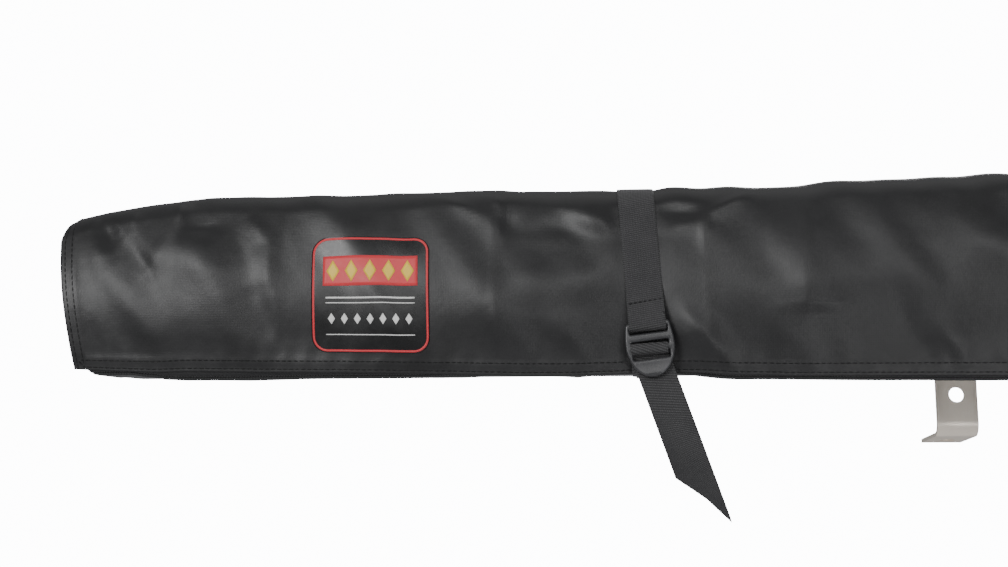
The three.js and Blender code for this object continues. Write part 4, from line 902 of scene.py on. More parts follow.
def buildStudio(s):
    # the floor, a sky that looks brighter to the camera than it lights, and lamps turned to their aims
    material, tree, shader, here, _ = startMaterial("paleFloor", **{"Roughness": 0.8})
    mask = useGroup(tree, "patches", Vector=here, Scale=1.5)
    spreadOver(tree, shader, mask, s["floorTones"], ends=(0.2, 0.8))
    half = s["floorSize"] / 2
    around = ((-half, -half), (half, -half), (half, half), (-half, half))
    corners = [(x, y, s["floorHeight"]) for x, y in around]
    floor = bpy.data.objects.new("floor", makeMesh("floor", corners, [np.arange(4)[None]], shadeSmooth=False))
    floor.data.materials.append(material)
    bpy.context.scene.collection.objects.link(floor)
    world = bpy.data.worlds.new("studio")
    bpy.context.scene.world = world
    world.use_nodes = True
    tree = world.node_tree
    background = tree.nodes["Background"]
    background.inputs["Color"].default_value = (*s["sky"], 1)
    seen = tree.nodes.new("ShaderNodeLightPath").outputs["Is Camera Ray"]
    tree.links.new(mixed(tree, seen, s["skyLight"], s["backdrop"]), background.inputs["Strength"])
    for name, place, aim, width, height, watts in s["lamps"]:
        lamp = bpy.data.lights.new(name, "AREA")
        lamp.shape, lamp.energy = "RECTANGLE", watts
        lamp.size, lamp.size_y = width * metres, height * metres
        thing = bpy.data.objects.new(name, lamp)
        thing.location = Vector(place) * metres
        thing.rotation_mode = "QUATERNION"
        thing.rotation_quaternion = (Vector(aim) - Vector(place)).to_track_quat("-Z", "Y")
        thing.visible_camera = False
        bpy.context.scene.collection.objects.link(thing)


buildStudio(studio)
print("studio lit")


# Straps with their buckles. Heights are of the left, middle and right strap alike. Each row of tacks
# is (place under the lap's top, from, to, slope).
strap = {
    "width": 25, "thick": 1.25, "lapTop": 84, "gap": 0.35, "tailLean": 0.35, "tailTip": -66, "tailCut": 35,
    "sewnBack": 30, "sewnFrom": 24, "loopSlack": 0.3, "step": 1.0, "sides": 28, "oval": (0.5, 0.32),
    "tacks": ((5, -11.5, 11.5, 0.17), (13, 10.4, 12.6, -1.2)), "tackPitch": 3.0, "tackLength": 2.9,
}
buckle = {
    "setback": 126.5, "thick": 4.0, "top": 65, "bar": 4, "loopGap": 3.7, "guide": 5.4, "gripGap": 2.9,
    "grip": 4, "tongueGap": 5.2, "tongue": 12.4, "halfTop": 14.6, "halfWide": 16.4, "shoulder": 14,
    "window": 12.7, "bevel": 1.25, "extraTurn": 0.055, "toeFrom": 23, "toeLift": 0.9,
}


def strapShift(height):
    # how far the strap has leant over from its place at the top
    return cover["strapLean"] * (cover["top"] - height)


def acrossStrap(turn):
    # the direction across a strap that is turned in the front's plane
    return np.column_stack([np.cos(turn), 0 * turn, np.sin(turn)])


def band(name, route, across, s, cutBack=0):
    # the oval section carried along the route; cutBack shears the far end back on its left edge
    way = unitVectors(np.gradient(route, axis=0))
    across = unitVectors(across - way * (across * way).sum(-1, keepdims=True))
    a, b = rounded(np.arange(s["sides"]) * 2 * np.pi / s["sides"], s["oval"])
    wide, tall = a * s["width"] / 2, b * s["thick"] / 2
    points = route[:, None] + across[:, None] * wide[:, None] + np.cross(way, across)[:, None] * tall[:, None]
    along = lengthAlong(route)[:, None]
    late = np.clip(1 - (along[-1] - along) / (2.2 * cutBack), 0, 1) if cutBack else 0 * along
    points += way[:, None] * (late * (a - 1) / 2 * cutBack)[..., None]
    uv = np.stack([np.broadcast_to(wide, points.shape[:2]), along + 0 * a], -1)
    return makeMesh(name, points, tubeFaces(*points.shape[:2]), uv)


def skinRoute(place, off):
    # down the cover's own surface along the strap's middle, held off it by half the strap
    rows = []
    for line, normal in zip(coverSkin, coverNormals):
        x = place + strapShift(np.interp(place, line[:, 0], line[:, 2]))
        at = lambda values: np.array([np.interp(x, line[:, 0], values[:, i]) for i in range(3)])
        rows.append(at(line) + unitVectors(at(normal)) * off)
    return np.array(rows)


def buckleRows(b):
    # the middle of the top bar, then the upper edge of each bar below it, and the foot
    bar = b["top"] - b["bar"] / 2
    guide = b["top"] - b["bar"] - b["loopGap"]
    grip = guide - b["guide"] - b["gripGap"]
    tongue = grip - b["grip"] - b["tongueGap"]
    return {"bar": bar, "guide": guide, "grip": grip, "tongue": tongue, "foot": tongue - b["tongue"]}


def upperStrap(s, b, side, place):
    # down the cover's skin, off it to the buckle, round the top bar and up again behind itself
    rows = buckleRows(b)
    seat = s["gap"] + s["thick"] / 2
    over = skinRoute(place, seat)
    over = over[(over[:, 2] > s["lapTop"] + s["width"] * 0.4) & (over[:, 1] < -s["sewnFrom"])]
    lastY = over[-1, 1]
    layer = s["thick"] + s["gap"]
    front = -b["setback"] - b["thick"] / 2 - seat - s["loopSlack"]
    rear = -b["setback"] + b["thick"] / 2 + seat + s["loopSlack"]
    under = rows["bar"] - b["bar"] / 2 - seat - 1.5 * s["loopSlack"]
    flat = [(lastY, over[-1, 2]), (lastY - layer * 0.9, s["lapTop"]), (front, b["top"] + 1.2 * layer),
            (front, under), (rear, under), (rear, b["top"]), (lastY + 0.1, s["lapTop"] - layer)]
    down = roundedPath(flat, (12, 8, 2.4, 2.4, 3, 0), 0.45)
    down = np.column_stack([place + strapShift(down[:, 1]), down])
    route = np.vstack([resampled(over, s["step"]), down[1:]])
    turn = math.atan(cover["strapLean"]) * np.clip((cover["top"] - route[:, 2]) / cover["corner"], 0, 1)
    standIn(f"strap_upper_{side}", f"webbing_upper_{side}", band("strapUpper", route, acrossStrap(turn), s))
    # a row of tacking through both layers over the buckle, and a short one beside it
    tacks = []
    for below, low, high, slope in s["tacks"]:
        u = np.linspace(low, high, 14)
        height = s["lapTop"] - below
        near = int(np.argmax((route[:, 2] < height) & (route[:, 1] < -60)))
        part = route[max(near - 30, 0): near + 12]
        rise = height + (u - (low + high) / 2) * slope
        y = np.interp(-rise, -part[:, 2], part[:, 1]) - s["thick"] / 2 - sewing["sunk"]
        line = np.column_stack([route[near, 0] + u, y, rise])
        tacks.append(stitchRow(line, facing((0, -1, 0), len(u)), {**sewing, "pitch": s["tackPitch"]}))
    sewPiece(f"tacking_{side}", tacks, "lid", {**sewing, "length": s["tackLength"]})


def evened(values, reach):
    # each value becomes the mean of those up to a reach away
    return np.convolve(np.pad(values, reach, "edge"), np.ones(2 * reach + 1) / (2 * reach + 1), "valid")


def lowerStrap(s, b, side, place):
    # from under the bottom panel forward, up behind the buckle, over the grip bar and down to the tail
    rows = buckleRows(b)
    seat = s["gap"] + s["thick"] / 2
    panelFront, panelLow = box("cover_bottom")[0][1:]
    rear, front = -b["setback"] + b["thick"] / 2 + seat, -b["setback"] - b["thick"] / 2 - seat
    load = rear + s["thick"] + s["gap"]
    over, under = rows["grip"] + seat, rows["grip"] - b["grip"] - seat
    wander = float(eased(np.array([place + strapShift(cover["hem"])]), hemWander)[0])
    zipY, panelZ = box("zip_lower")[0][1], panelLow + 0.9 + wander - seat
    sewnZ = box("board_end_cap_left")[0][2] - 6
    tipZ = s["tailTip"] - s["width"] / 2 * math.sin(math.atan(s["tailLean"]))
    flat = [(-s["sewnBack"], sewnZ), (panelFront + 3, panelZ - 0.3), (zipY - 1.2, panelZ - 0.9),
            (load, cover["hem"] - 1), (load, over), (front, over), (front, under), (rear, under - 1),
            (rear + 0.2, rows["tongue"] - 4), (rear, rows["foot"]),
            (rear - 1.4, (rows["foot"] + s["tailTip"]) / 2), (rear - 0.2, tipZ)]
    route = roundedPath(flat, (6, 4, 5, 3, 2.2, 2.2, 2.6, 6, 12, 90), 0.8)
    heights = route[:, 1]
    hanging = np.arange(len(route)) > np.argmax(heights)
    tail = np.clip(rows["tongue"] - heights, 0, None) * hanging
    foot = strapShift(rows["tongue"]) + 1.0
    onFront = (route[:, 0] < panelFront) & (heights > cover["hem"] - 8)
    shift = np.where(onFront, strapShift(heights), foot + 2.6)
    shift = np.where(tail > 0, foot + s["tailLean"] * tail, shift)
    lean = np.where(tail > 0, s["tailLean"], np.where(onFront, cover["strapLean"], 0))
    points = np.column_stack([place + evened(shift, 4), route])
    mesh = band("strapLower", points, acrossStrap(evened(np.arctan(lean), 6)), s, s["tailCut"])
    standIn(f"strap_lower_{side}", f"webbing_lower_{side}", mesh, "webbingTwill")


def platePiece(name, outline, holes, thick, bevel, place):
    # a flat outline with holes, given its thickness and rounded edges, then put in place
    curve = bpy.data.curves.new(name, "CURVE")
    curve.dimensions, curve.fill_mode = "2D", "BOTH"
    curve.extrude, curve.bevel_depth, curve.bevel_resolution = thick / 2 - bevel, bevel, 3
    curve.offset = -bevel
    for points, turnsLeft in [(outline, True), *((hole, False) for hole in holes)]:
        x, y = points.T
        area = np.sum(x * np.roll(y, -1) - y * np.roll(x, -1))
        points = points if (area > 0) == turnsLeft else points[::-1]
        spline = curve.splines.new("POLY")
        spline.points.add(len(points) - 1)
        spline.points.foreach_set("co", np.column_stack([points, 0 * x, 0 * x + 1]).ravel())
        spline.use_cyclic_u = True
    holder = bpy.data.objects.new(name, curve)
    bpy.context.scene.collection.objects.link(holder)
    flat = bpy.data.meshes.new_from_object(holder.evaluated_get(bpy.context.evaluated_depsgraph_get()))
    bpy.data.objects.remove(holder)
    bpy.data.curves.remove(curve)
    recalculate(flat, 1e-4)
    local = np.empty(len(flat.vertices) * 3, np.float32)
    flat.vertices.foreach_get("co", local)
    flat.vertices.foreach_set("co", (place(local.reshape(-1, 3)) * metres).astype(np.float32).ravel())
    flat.polygons.foreach_set("use_smooth", np.ones(len(flat.polygons), bool))
    flat.update()
    return flat


def buckleFrame(b, side, place):
    # three windows between the bars of a D: sides that swell to the shoulder by a sine, then half an
    # ellipse down to the foot
    rows = buckleRows(b)
    up = np.linspace(b["bar"] / 2 - 1.6, -b["shoulder"], 12)
    share = (b["bar"] / 2 - up) / (b["bar"] / 2 + b["shoulder"])
    half = b["halfTop"] + (b["halfWide"] - b["halfTop"]) * np.sin(share * np.pi / 2)
    t = np.linspace(0, np.pi, 41)[1:-1]
    depth = rows["bar"] - rows["foot"] - b["shoulder"]
    belly = np.column_stack([b["halfWide"] * np.cos(t), -b["shoulder"] - depth * np.sin(t) ** 1.05])
    corner = [(b["halfTop"] - 1.6, b["bar"] / 2), (b["halfTop"] - 0.5, b["bar"] / 2 - 0.5)]
    right = np.vstack([corner, np.column_stack([half, up])])
    outline = np.vstack([right, belly, right[::-1] * (-1, 1)])
    windows = [(rows["guide"], rows["bar"] - b["bar"] / 2), (rows["grip"], rows["guide"] - b["guide"]),
               (rows["tongue"], rows["grip"] - b["grip"])]
    holes = []
    for i, (low, high) in enumerate(windows):
        wide = b["window"] - 0.15 * i
        holes.append(roundedBox(-wide, wide, low - rows["bar"], high - rows["bar"], 0.9, 5))
    turn = math.atan(cover["strapLean"]) + b["extraTurn"]

    def put(local):
        # turned with the strap, and its toe lifted off the webbing by a square law
        u, v, w = local.T
        lift = b["toeLift"] * np.clip((-v - b["toeFrom"]) / 10, 0, 1) ** 2
        x = place + strapShift(rows["bar"]) + u * math.cos(turn) - v * math.sin(turn)
        z = rows["bar"] + v * math.cos(turn) + u * math.sin(turn)
        return np.column_stack([x, -b["setback"] - w - lift, z])

    mesh = platePiece("buckle", outline, holes, b["thick"], b["bevel"], put)
    standIn(f"strap_buckle_{side}", f"ladder_buckle_{side}", mesh, sharp=40)


for strapSide, strapPlace in zip(("left", "middle", "right"), cover["strapPlaces"]):
    upperStrap(strap, buckle, strapSide, strapPlace)
    lowerStrap(strap, buckle, strapSide, strapPlace)
    buckleFrame(buckle, strapSide, strapPlace)
print("straps threaded")


# Telescopic arms and legs. Places along a collar and the pressed tip are shares of its length and
# millimetres from the tip's end.
tubes = {
    "wall": 1.5, "ease": 0.45, "armOuter": 25, "armInner": 20, "legOuter": 22, "legInner": 18,
    "clearance": 0.3, "collarSteps": 120, "ribs": 20, "ribDepth": 0.035, "gripFrom": 0.14, "gripTo": 0.80,
    "groove": 0.87, "footBore": 14.3, "footRibs": 3, "footRound": 5, "pressFrom": 34, "pressTo": 20,
    "blade": 2.5, "tipHole": 4.0,
}


def turned(profile, middle, axis, steps=64, share=1):
    # a closed profile of (along, radius) turned about an axis; share scales each point's radius
    profile = np.asarray(profile, float)
    angle = np.arange(steps) * 2 * np.pi / steps
    radius = profile[:, 1:] * share
    order = {"x": (0, 1, 2), "y": (1, 2, 0), "z": (2, 0, 1)}[axis]
    points = np.empty((len(profile), steps, 3))
    points[..., order[0]] = profile[:, :1]
    points[..., order[1]] = middle[order[1]] + radius * np.cos(angle)
    points[..., order[2]] = middle[order[2]] + radius * np.sin(angle)
    return points, [gridFaces(len(profile), steps, True, True)]


def fromBore(name, flip):
    # the node's middle and half height, the end that the bore opens at, the way along and the length
    low, high = box(name)
    start, step = (low[0], 1.0) if flip > 0 else (high[0], -1.0)
    return (low + high) / 2, (high[2] - low[2]) / 2, start, step, high[0] - low[0]


def roundTube(t, name):
    # out along the outside and back along the bore, with eased rims
    middle, radius, start, _, length = fromBore(name, 1)
    end, inner, ease, third = start + length, radius - t["wall"], t["ease"], t["ease"] * 0.3
    profile = [(start, inner + ease), (start, radius - ease), (start + third, radius - third)]
    profile += [(start + ease, radius), *((x, radius) for x in np.linspace(start, end, 24)[1:-1])]
    profile += [(end - ease, radius), (end - third, radius - third), (end, radius - ease),
                (end, inner + ease), (end - ease, inner), (start + ease, inner)]
    standIn(name, name + "_smooth", makeMesh(name, *turned(profile, middle, "x")), sharp=40)


def turnedPiece(name, ending, profile, middle, step, steps=64, share=1):
    # a turned piece drawn from its bore's end; drawn to the left it is inside out, so its faces turn
    points, (faces,) = turned(profile, middle, "x", steps, share)
    mesh = makeMesh(name, points, [faces if step > 0 else faces[:, ::-1]])
    standIn(name, name + ending, mesh, sharp=50)


def gripCollar(t, name, outerSize, innerSize, flip):
    # two bores, a chamfer at each end and a ribbed grip between two plain rings
    middle, radius, start, step, length = fromBore(name, flip)
    wide, narrow = outerSize / 2 + t["clearance"], innerSize / 2 + t["clearance"]
    outside = [(0, wide), (0, radius - 1.6), (0.012, radius - 1.1), (0.05, radius)]
    outside += [(share, radius) for share in np.linspace(0.07, 0.93, 30)]
    outside += [(0.95, radius), (0.985, radius - 1.1), (1, radius - 1.6), (1, narrow),
                (0.66, narrow), (0.65, narrow + 0.4), (0.65, wide - 0.2), (0.64, wide)]
    share, size = np.array(outside).T[..., None]
    angle = np.arange(t["collarSteps"]) * 2 * np.pi / t["collarSteps"]
    inGrip = np.clip((share - t["gripFrom"]) / 0.04, 0, 1) * np.clip((t["gripTo"] - share) / 0.04, 0, 1)
    dent = np.clip(np.cos(angle * t["ribs"]) * 2.2, -1, 1) * 0.5 - 0.5
    ring = np.exp(-((share - t["groove"]) / 0.016) ** 2)
    cut = (t["ribDepth"] * inGrip * dent - 0.02 * ring) * (size > radius - 0.5)
    profile = np.hstack([start + step * share * length, size])
    turnedPiece(name, "_grip", profile, middle, step, t["collarSteps"], 1 + cut)


def rubberFoot(t, name, innerSize, flip):
    # a socket over the tube, ridges by a rectified sine along its side, and a domed sole
    middle, radius, start, step, length = fromBore(name, flip)
    bore, straight = innerSize / 2 + t["clearance"], length - t["footRound"]
    outside = [(t["footBore"], 0.01), (t["footBore"], bore), (0, bore), (0, radius - 2.0),
               (0.4, radius - 1.5), (1.2, radius - 1.2)]
    d = np.linspace(2, straight, 30)
    ridge = 0.7 * (1 - np.abs(np.sin(d / straight * np.pi * (t["footRibs"] + 1))) ** 0.5)
    a = np.linspace(0, np.pi / 2, 9)[1:]
    dome = 0.01 + (radius - 0.2) * np.clip(np.cos(a), 0, None) ** 0.6
    profile = np.vstack([outside, np.column_stack([d, radius - 0.9 + 0.9 * d / length - ridge]),
                         np.column_stack([straight + t["footRound"] * np.sin(a), dome])])
    turnedPiece(name, "_rubber", profile * (step, 1) + (start, 0), middle, step)


def pressedTube(t, name, flip):
    # a round tube whose last stretch closes into a flat blade: the section's two half sizes ease from
    # the tube's radius to the blade's, and its corners grow squarer
    middle, radius, root, step, far = fromBore(name, flip)
    bladeFrom, steps = far - t["pressTo"], 64
    pressFrom, pressLong = far - t["pressFrom"], t["pressFrom"] - t["pressTo"]
    along = np.concatenate([np.linspace(0, pressFrom, 14), pressFrom + pressLong * np.linspace(0, 1, 16)[1:],
                            bladeFrom + (t["pressTo"] - radius) * np.linspace(0, 1, 6)[1:],
                            far - radius + radius * np.sin(np.linspace(0, np.pi / 2, 12)[1:])])
    press = smooth(np.clip((along - pressFrom) / pressLong, 0, 1))
    nose = np.clip(along - far + radius, 0, None) / radius
    width = radius * np.sqrt(np.clip(1 - nose ** 2, 0.0004, 1))
    thick = np.minimum(radius + (t["blade"] - radius) * press, np.maximum(width, 0.3))
    angle = np.arange(steps) * 2 * np.pi / steps
    power = 1 - 0.55 * press[:, None]
    across, up = rounded(angle, (power, power))
    across, up = width[:, None] * across, thick[:, None] * up
    outside = np.stack([root + step * along[:, None] + 0 * across, middle[1] + across, middle[2] + up], -1)
    inner = radius - t["wall"]
    bore = [(root + step * (far - 40), inner), (root + step, inner), (root, inner + 0.4)]
    points = np.concatenate([turned(bore, middle, "x", steps)[0], outside])
    mesh = makeMesh(name, points, tubeFaces(len(points), steps, insideOut=step > 0))
    piece = standIn(name, name + "_pressed", mesh, sharp=40)
    cutHole(piece, (root + step * (far - radius), middle[1]), t["tipHole"], "z", middle[2] - 9, middle[2] + 9)


def cutHole(piece, place, radius, axis, low, high, steps=40):
    # a round hole along an axis between two places on it, done and applied at once
    middle = dict(zip({"y": (0, 2), "z": (0, 1)}[axis], place))
    rod, _ = turned([(low, radius), (high, radius)], middle, axis, steps)
    cutter = bpy.data.objects.new("cutter", makeMesh("cutter", rod, tubeFaces(2, steps)))
    recalculate(cutter.data)
    bpy.context.scene.collection.objects.link(cutter)
    tool = piece.modifiers.new("cut", "BOOLEAN")
    tool.operation, tool.object, tool.solver = "DIFFERENCE", cutter, "EXACT"
    bpy.context.view_layer.update()
    done = bpy.data.meshes.new_from_object(piece.evaluated_get(bpy.context.evaluated_depsgraph_get()))
    piece.modifiers.clear()
    piece.data = done
    bpy.data.objects.remove(cutter)
    done.set_sharp_from_angle(angle=math.radians(35))


for tubeSide, flip in (("left", 1), ("right", -1)):
    for tubeName in ("arm_outer", "leg_outer", "leg_inner"):
        roundTube(tubes, f"{tubeName}_{tubeSide}")
    pressedTube(tubes, f"arm_inner_{tubeSide}", flip)
    gripCollar(tubes, f"arm_collar_{tubeSide}", tubes["armOuter"], tubes["armInner"], flip)
    gripCollar(tubes, f"leg_collar_{tubeSide}", tubes["legOuter"], tubes["legInner"], flip)
    rubberFoot(tubes, f"leg_foot_{tubeSide}", tubes["legInner"], flip)
print("tubes drawn")


# Zip: two tapes with a coil each. The chain runs forward along one end, round the corner, along the
# front and back along the other end. The last leg of each tape is (outward, up) from its fold.
zipper = {
    "setback": 113, "height": 31.3, "sideInset": 25, "turn": 16, "back": 20, "tilt": 27, "slope": 0.1650,
    "pitch": 1.9, "toothLong": 3.5, "toothWide": 1.25, "toothTall": 1.9, "toothLap": 0.45,
    "tape": 0.7, "tapeStart": 0.4, "tapeReach": 4.0, "tapeStep": 3.0,
    "lastLeg": {1: (0.2, 7.5), -1: (-2.4, 0.3)},
}


def chainRoute(z, step):
    # the chain's places, its outward and its forward directions, with the hem's wander along the front
    side = cover["halfLength"] - z["sideInset"]
    turnX, turnY = side - z["turn"], z["turn"] - z["setback"]
    t = np.linspace(0, np.pi / 2, 18)[:, None]
    quarter = np.hstack([-turnX - z["turn"] * np.cos(t), turnY - z["turn"] * np.sin(t)])
    left = np.vstack([[(-side, -z["back"])], quarter])
    route = resampled(np.vstack([left, (left * (-1, 1))[::-1]]), step)
    way = unitVectors(np.gradient(route, axis=0))
    inFront = np.clip(1 - (route[:, 1] + z["setback"]) / 60, 0, 1)
    height = z["height"] + z["slope"] * np.clip(route[:, 1] + z["setback"], 0, None)
    height += eased(route[:, 0], hemWander) * inFront
    none = 0 * height
    return (np.column_stack([route, height]), np.column_stack([way[:, 1], -way[:, 0], none]),
            np.column_stack([way, none]))


def zipHalf(z, half, name, nodeName, body):
    # the tape: out from the chain at a tilt, folded, then on along its last leg; half is 1 or -1
    tilt = math.radians(z["tilt"])
    lean = np.array([math.cos(tilt), math.sin(tilt)])
    up = np.array([0, 0, 1.0])
    route, out, _ = chainRoute(z, z["tapeStep"])
    fold = lean * z["tapeReach"] * half
    flat = roundedPath([lean * z["tapeStart"] * half, fold, fold + z["lastLeg"][half]], (1.5,), 0.9)
    side = sideways(flat) * z["tape"] / 2
    loop = np.vstack([flat + side, (flat - side)[::-1]])
    points = route[:, None] + out[:, None] * loop[:, :1] + up * loop[:, 1:]
    rows, sides = points.shape[:2]
    along = np.arange(rows)[:, None] * z["tapeStep"]
    uv = np.stack([np.broadcast_to(np.arange(sides) * 0.9, (rows, sides)), along + np.zeros(sides)], -1)
    mesh = makeMesh(name + "Tape", points, tubeFaces(rows, sides, half > 0), uv)
    standIn(nodeName, f"zip_tape_{name}", mesh, "tape")
    # the teeth: beads across the chain, the upper half's set half a pitch on
    places, outward, forward = chainRoute(z, z["pitch"])
    tilted = unitVectors(outward * lean[0] + up * lean[1])
    centre = places + tilted * (half * (z["toothLong"] / 2 - z["toothLap"]))
    if half > 0:
        centre = centre + forward * z["pitch"] / 2
    tooth = bead(z["toothLong"], z["toothWide"], z["toothTall"])
    teeth, faces = scatter(*tooth, centre, tilted, -forward, -np.cross(tilted, forward))
    mesh = makeMesh(name + "Teeth", teeth, faces)
    recalculate(mesh)
    addPiece(f"zip_teeth_{name}", mesh, body, finish["coil"])


zipHalf(zipper, 1, "upper", "zip_upper", "lid")
zipHalf(zipper, -1, "lower", "zip_lower", "bottom")
print("zip closed")


# Bottom panel and end panels. Wrinkles are (count, height, widths from and to).
panel = {
    "inset": 20.5, "wall": 1.1, "columns": 420, "rows": 34, "corner": 11.7, "sag": 0.2, "seed": 7,
    "stitchRows": {"front": 4.0, "second": 8.5}, "slack": 1.6, "slackFrom": -2.6, "slackTo": 4.5,
    "bottomWrinkles": (90, 1.1, (5, 16)), "endWrinkles": (16, 1.9, (5, 13)),
    "cutWidth": 0.106, "cutLength": 2.02, "endWidth": 0.116, "endHeight": 0.126, "endShare": 0.9,
}


def wrinkles(x, v, seed, kind, spanX, spanV):
    # short ridges and grooves by seeded draw; each falls off with its distance over its width, raised to
    # a power, by an exponential
    count, height, width = kind
    draw = np.random.default_rng(seed)
    total = np.zeros(np.broadcast(x, v).shape)
    for _ in range(count):
        x0, v0 = draw.uniform(*spanX), draw.uniform(*spanV)
        angle, reach = draw.uniform(0, np.pi), draw.uniform(0.15, 0.5) * (spanV[1] - spanV[0])
        dx, dv = math.cos(angle), math.sin(angle)
        t = np.clip((x - x0) * dx + (v - v0) * dv, -reach, reach)
        away = np.hypot(x - x0 - t * dx, v - v0 - t * dv)
        size = draw.uniform(0.3, 1) * height * draw.choice([-1, 1])
        total += size * np.exp(-(away / draw.uniform(*width)) ** 1.4)
    return total


def bottomPanel(p):
    # from the hem, whose wander it follows, straight back to the board, with its front corners rounded
    low, high = box("cover_bottom")
    end, front, rear = high[0], low[1], -8.0
    frontZ, rearZ = low[2] + p["wall"] / 2 + 1.1, box("back_board")[0][2] - 1.4
    v = np.concatenate([np.linspace(0, 0.1, 6)[:-1], np.linspace(0.1, 1, p["rows"] - 5)])[:, None]
    y = front + (rear - front) * v
    short = np.clip(front + p["corner"] - y, 0, None)
    inset = p["corner"] - np.sqrt(np.clip(p["corner"] ** 2 - short ** 2, 0, None))
    u = np.linspace(-1, 1, p["columns"])[None]
    x = u * (end - inset)
    z = frontZ + (rearZ - frontZ) * v + eased(x, hemWander) * (1 - v)
    hold = np.clip(np.minimum(v, 1 - v) * 6, 0, 1) * np.clip((1 - np.abs(u)) * 30, 0, 1)
    push = wrinkles(x, y, p["seed"], p["bottomWrinkles"], (-1000, 1000), (-108, -8))
    push = hold * (push - p["sag"] * np.sin(np.pi * v) ** 0.7 + 0.5 * np.sin(x / 31 + np.sin(x / 57) * 2))
    top = np.stack([x, y + 0 * x, z + push + p["wall"] / 2], -1)
    mesh = slab("bottomPanel", top, top - (0, 0, p["wall"]), top[..., :2])
    underside = standIn("cover_bottom", "cover_underside", mesh)
    for name, share in p["stitchRows"].items():
        steps = np.linspace(6 - end, end - 6, 700)
        heights = frontZ + (rearZ - frontZ) * share / (rear - front) - p["wall"] / 2 + eased(steps, hemWander)
        row = stitchRow(np.column_stack([steps, front + share + 0 * steps, heights]),
                        facing((0, 0, -1), len(steps)), sewing)
        sewPiece(f"bottom_stitching_{name}", [row], "bottom", sewing)


def endPanel(p, side, sign):
    # lines ruled from the cover's inside down to the bottom edge, with slack cloth between
    low, high = box(f"cover_end_{side}")
    near = int(np.argmin(np.abs(coverX - sign * (cover["halfLength"] - p["inset"]))))
    rim = coverSkin[:, near, 1:]
    rim = rim + sideways(rim) * (cover["wall"] + 0.5)
    rim = rim[rim[:, 1] > low[2] + 1.0]
    share = np.linspace(0, 1, len(rim))
    foot = np.column_stack([-3 + (rim[-1, 0] + 3) * share, low[2] + 21.5 * (1 - share) + 0.4])
    foot[:, 1] = np.minimum(foot[:, 1], rim[:, 1] - 0.2)
    t = np.linspace(0, 1, 30)[:, None]
    flat = rim + (foot - rim) * t[..., None]
    hold = np.clip(np.minimum(t, 1 - t) * 5, 0, 1) * np.clip(np.minimum(share, 1 - share) * 7, 0, 1)
    slack = wrinkles(flat[..., 0], flat[..., 1], p["seed"] + 3, p["endWrinkles"], (-115, -5), (32, 155))
    slack = slack + p["slack"] * np.sin(np.pi * t) * np.sin(np.pi * share)
    push = np.clip(hold * slack, p["slackFrom"], p["slackTo"]) + p["wall"] / 2
    x = sign * (abs(low[0] + high[0]) / 2 + push)
    outer = np.stack([x, flat[..., 0], flat[..., 1]], -1)
    mesh = slab("endPanel", outer, outer - (sign * p["wall"], 0, 0), flat)
    endPiece = standIn(f"cover_end_{side}", f"cover_end_panel_{side}", mesh)


bottomPanel(panel)
endPanel(panel, "left", -1)
endPanel(panel, "right", 1)
print("panels sewn in")


# Canopy: the cloth from the board to the bar, and the roll, wound round the bar and the folded legs
canopy = {
    "cloth": 0.45, "turns": 6, "roll": 8, "corner": 12, "coreWide": 52, "coreTall": 72, "rollColumns": 90,
    "leadRows": 72, "leadColumns": 260, "leadFrom": -13, "sag": 5.0, "leadShare": 1.02, "squashed": 0.03,
}


def rollSection(width, height, radius, every):
    # a rounded rectangle walked from the middle of its top round to the right, at even steps
    ring = roundedBox(-width / 2, width / 2, -height / 2, height / 2, radius, 7)
    ring = np.roll(ring[::-1], 7, axis=0)
    top = [(0, height / 2)]
    return resampled(np.vstack([top, ring, top]), 1.0)[::every]


def squashOnBar(piece):
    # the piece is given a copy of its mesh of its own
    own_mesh(piece)


def canopyRoll(c):
    # the section walked round once for each turn, growing outwards evenly, with a slight ripple
    low, high = box("canopy")
    height = c["coreTall"] + c["roll"]
    centre = box("front_bar")[:, 1].mean(), low[2] + c["roll"] / 2 + height / 2
    base = rollSection(c["coreWide"] + c["roll"], height, c["corner"] + c["roll"] / 2, 3)
    count, out = len(base) - 1, sideways(base)
    steps = np.arange(c["turns"] * count)
    at = steps % count
    grow = (steps / len(steps) - 0.5) * (c["roll"] - c["cloth"] - 0.6)
    section = base[at] + out[at] * grow[:, None]
    x = np.linspace(-high[0], high[0], c["rollColumns"])
    ripple = 0.25 * np.sin(x / 47 + at[:, None] / count * 9) + 0.15 * np.sin(x / 13 + at[:, None] / 5)
    outer = np.empty((len(steps), len(x), 3))
    outer[..., 0] = x
    outer[..., 1:] = (section + centre)[:, None] + out[at][:, None] * (ripple + c["cloth"] / 2)[..., None]
    inner = outer.copy()
    inner[..., 1:] -= out[at][:, None] * c["cloth"]
    along = lengthAlong(section)
    uv = np.stack([np.broadcast_to(x, outer.shape[:2]), along[:, None] + 0 * x], -1)
    roll = standIn("canopy", "canopy_roll", slab("canopyRoll", outer, inner, uv), "canopy")
    squashOnBar(roll)


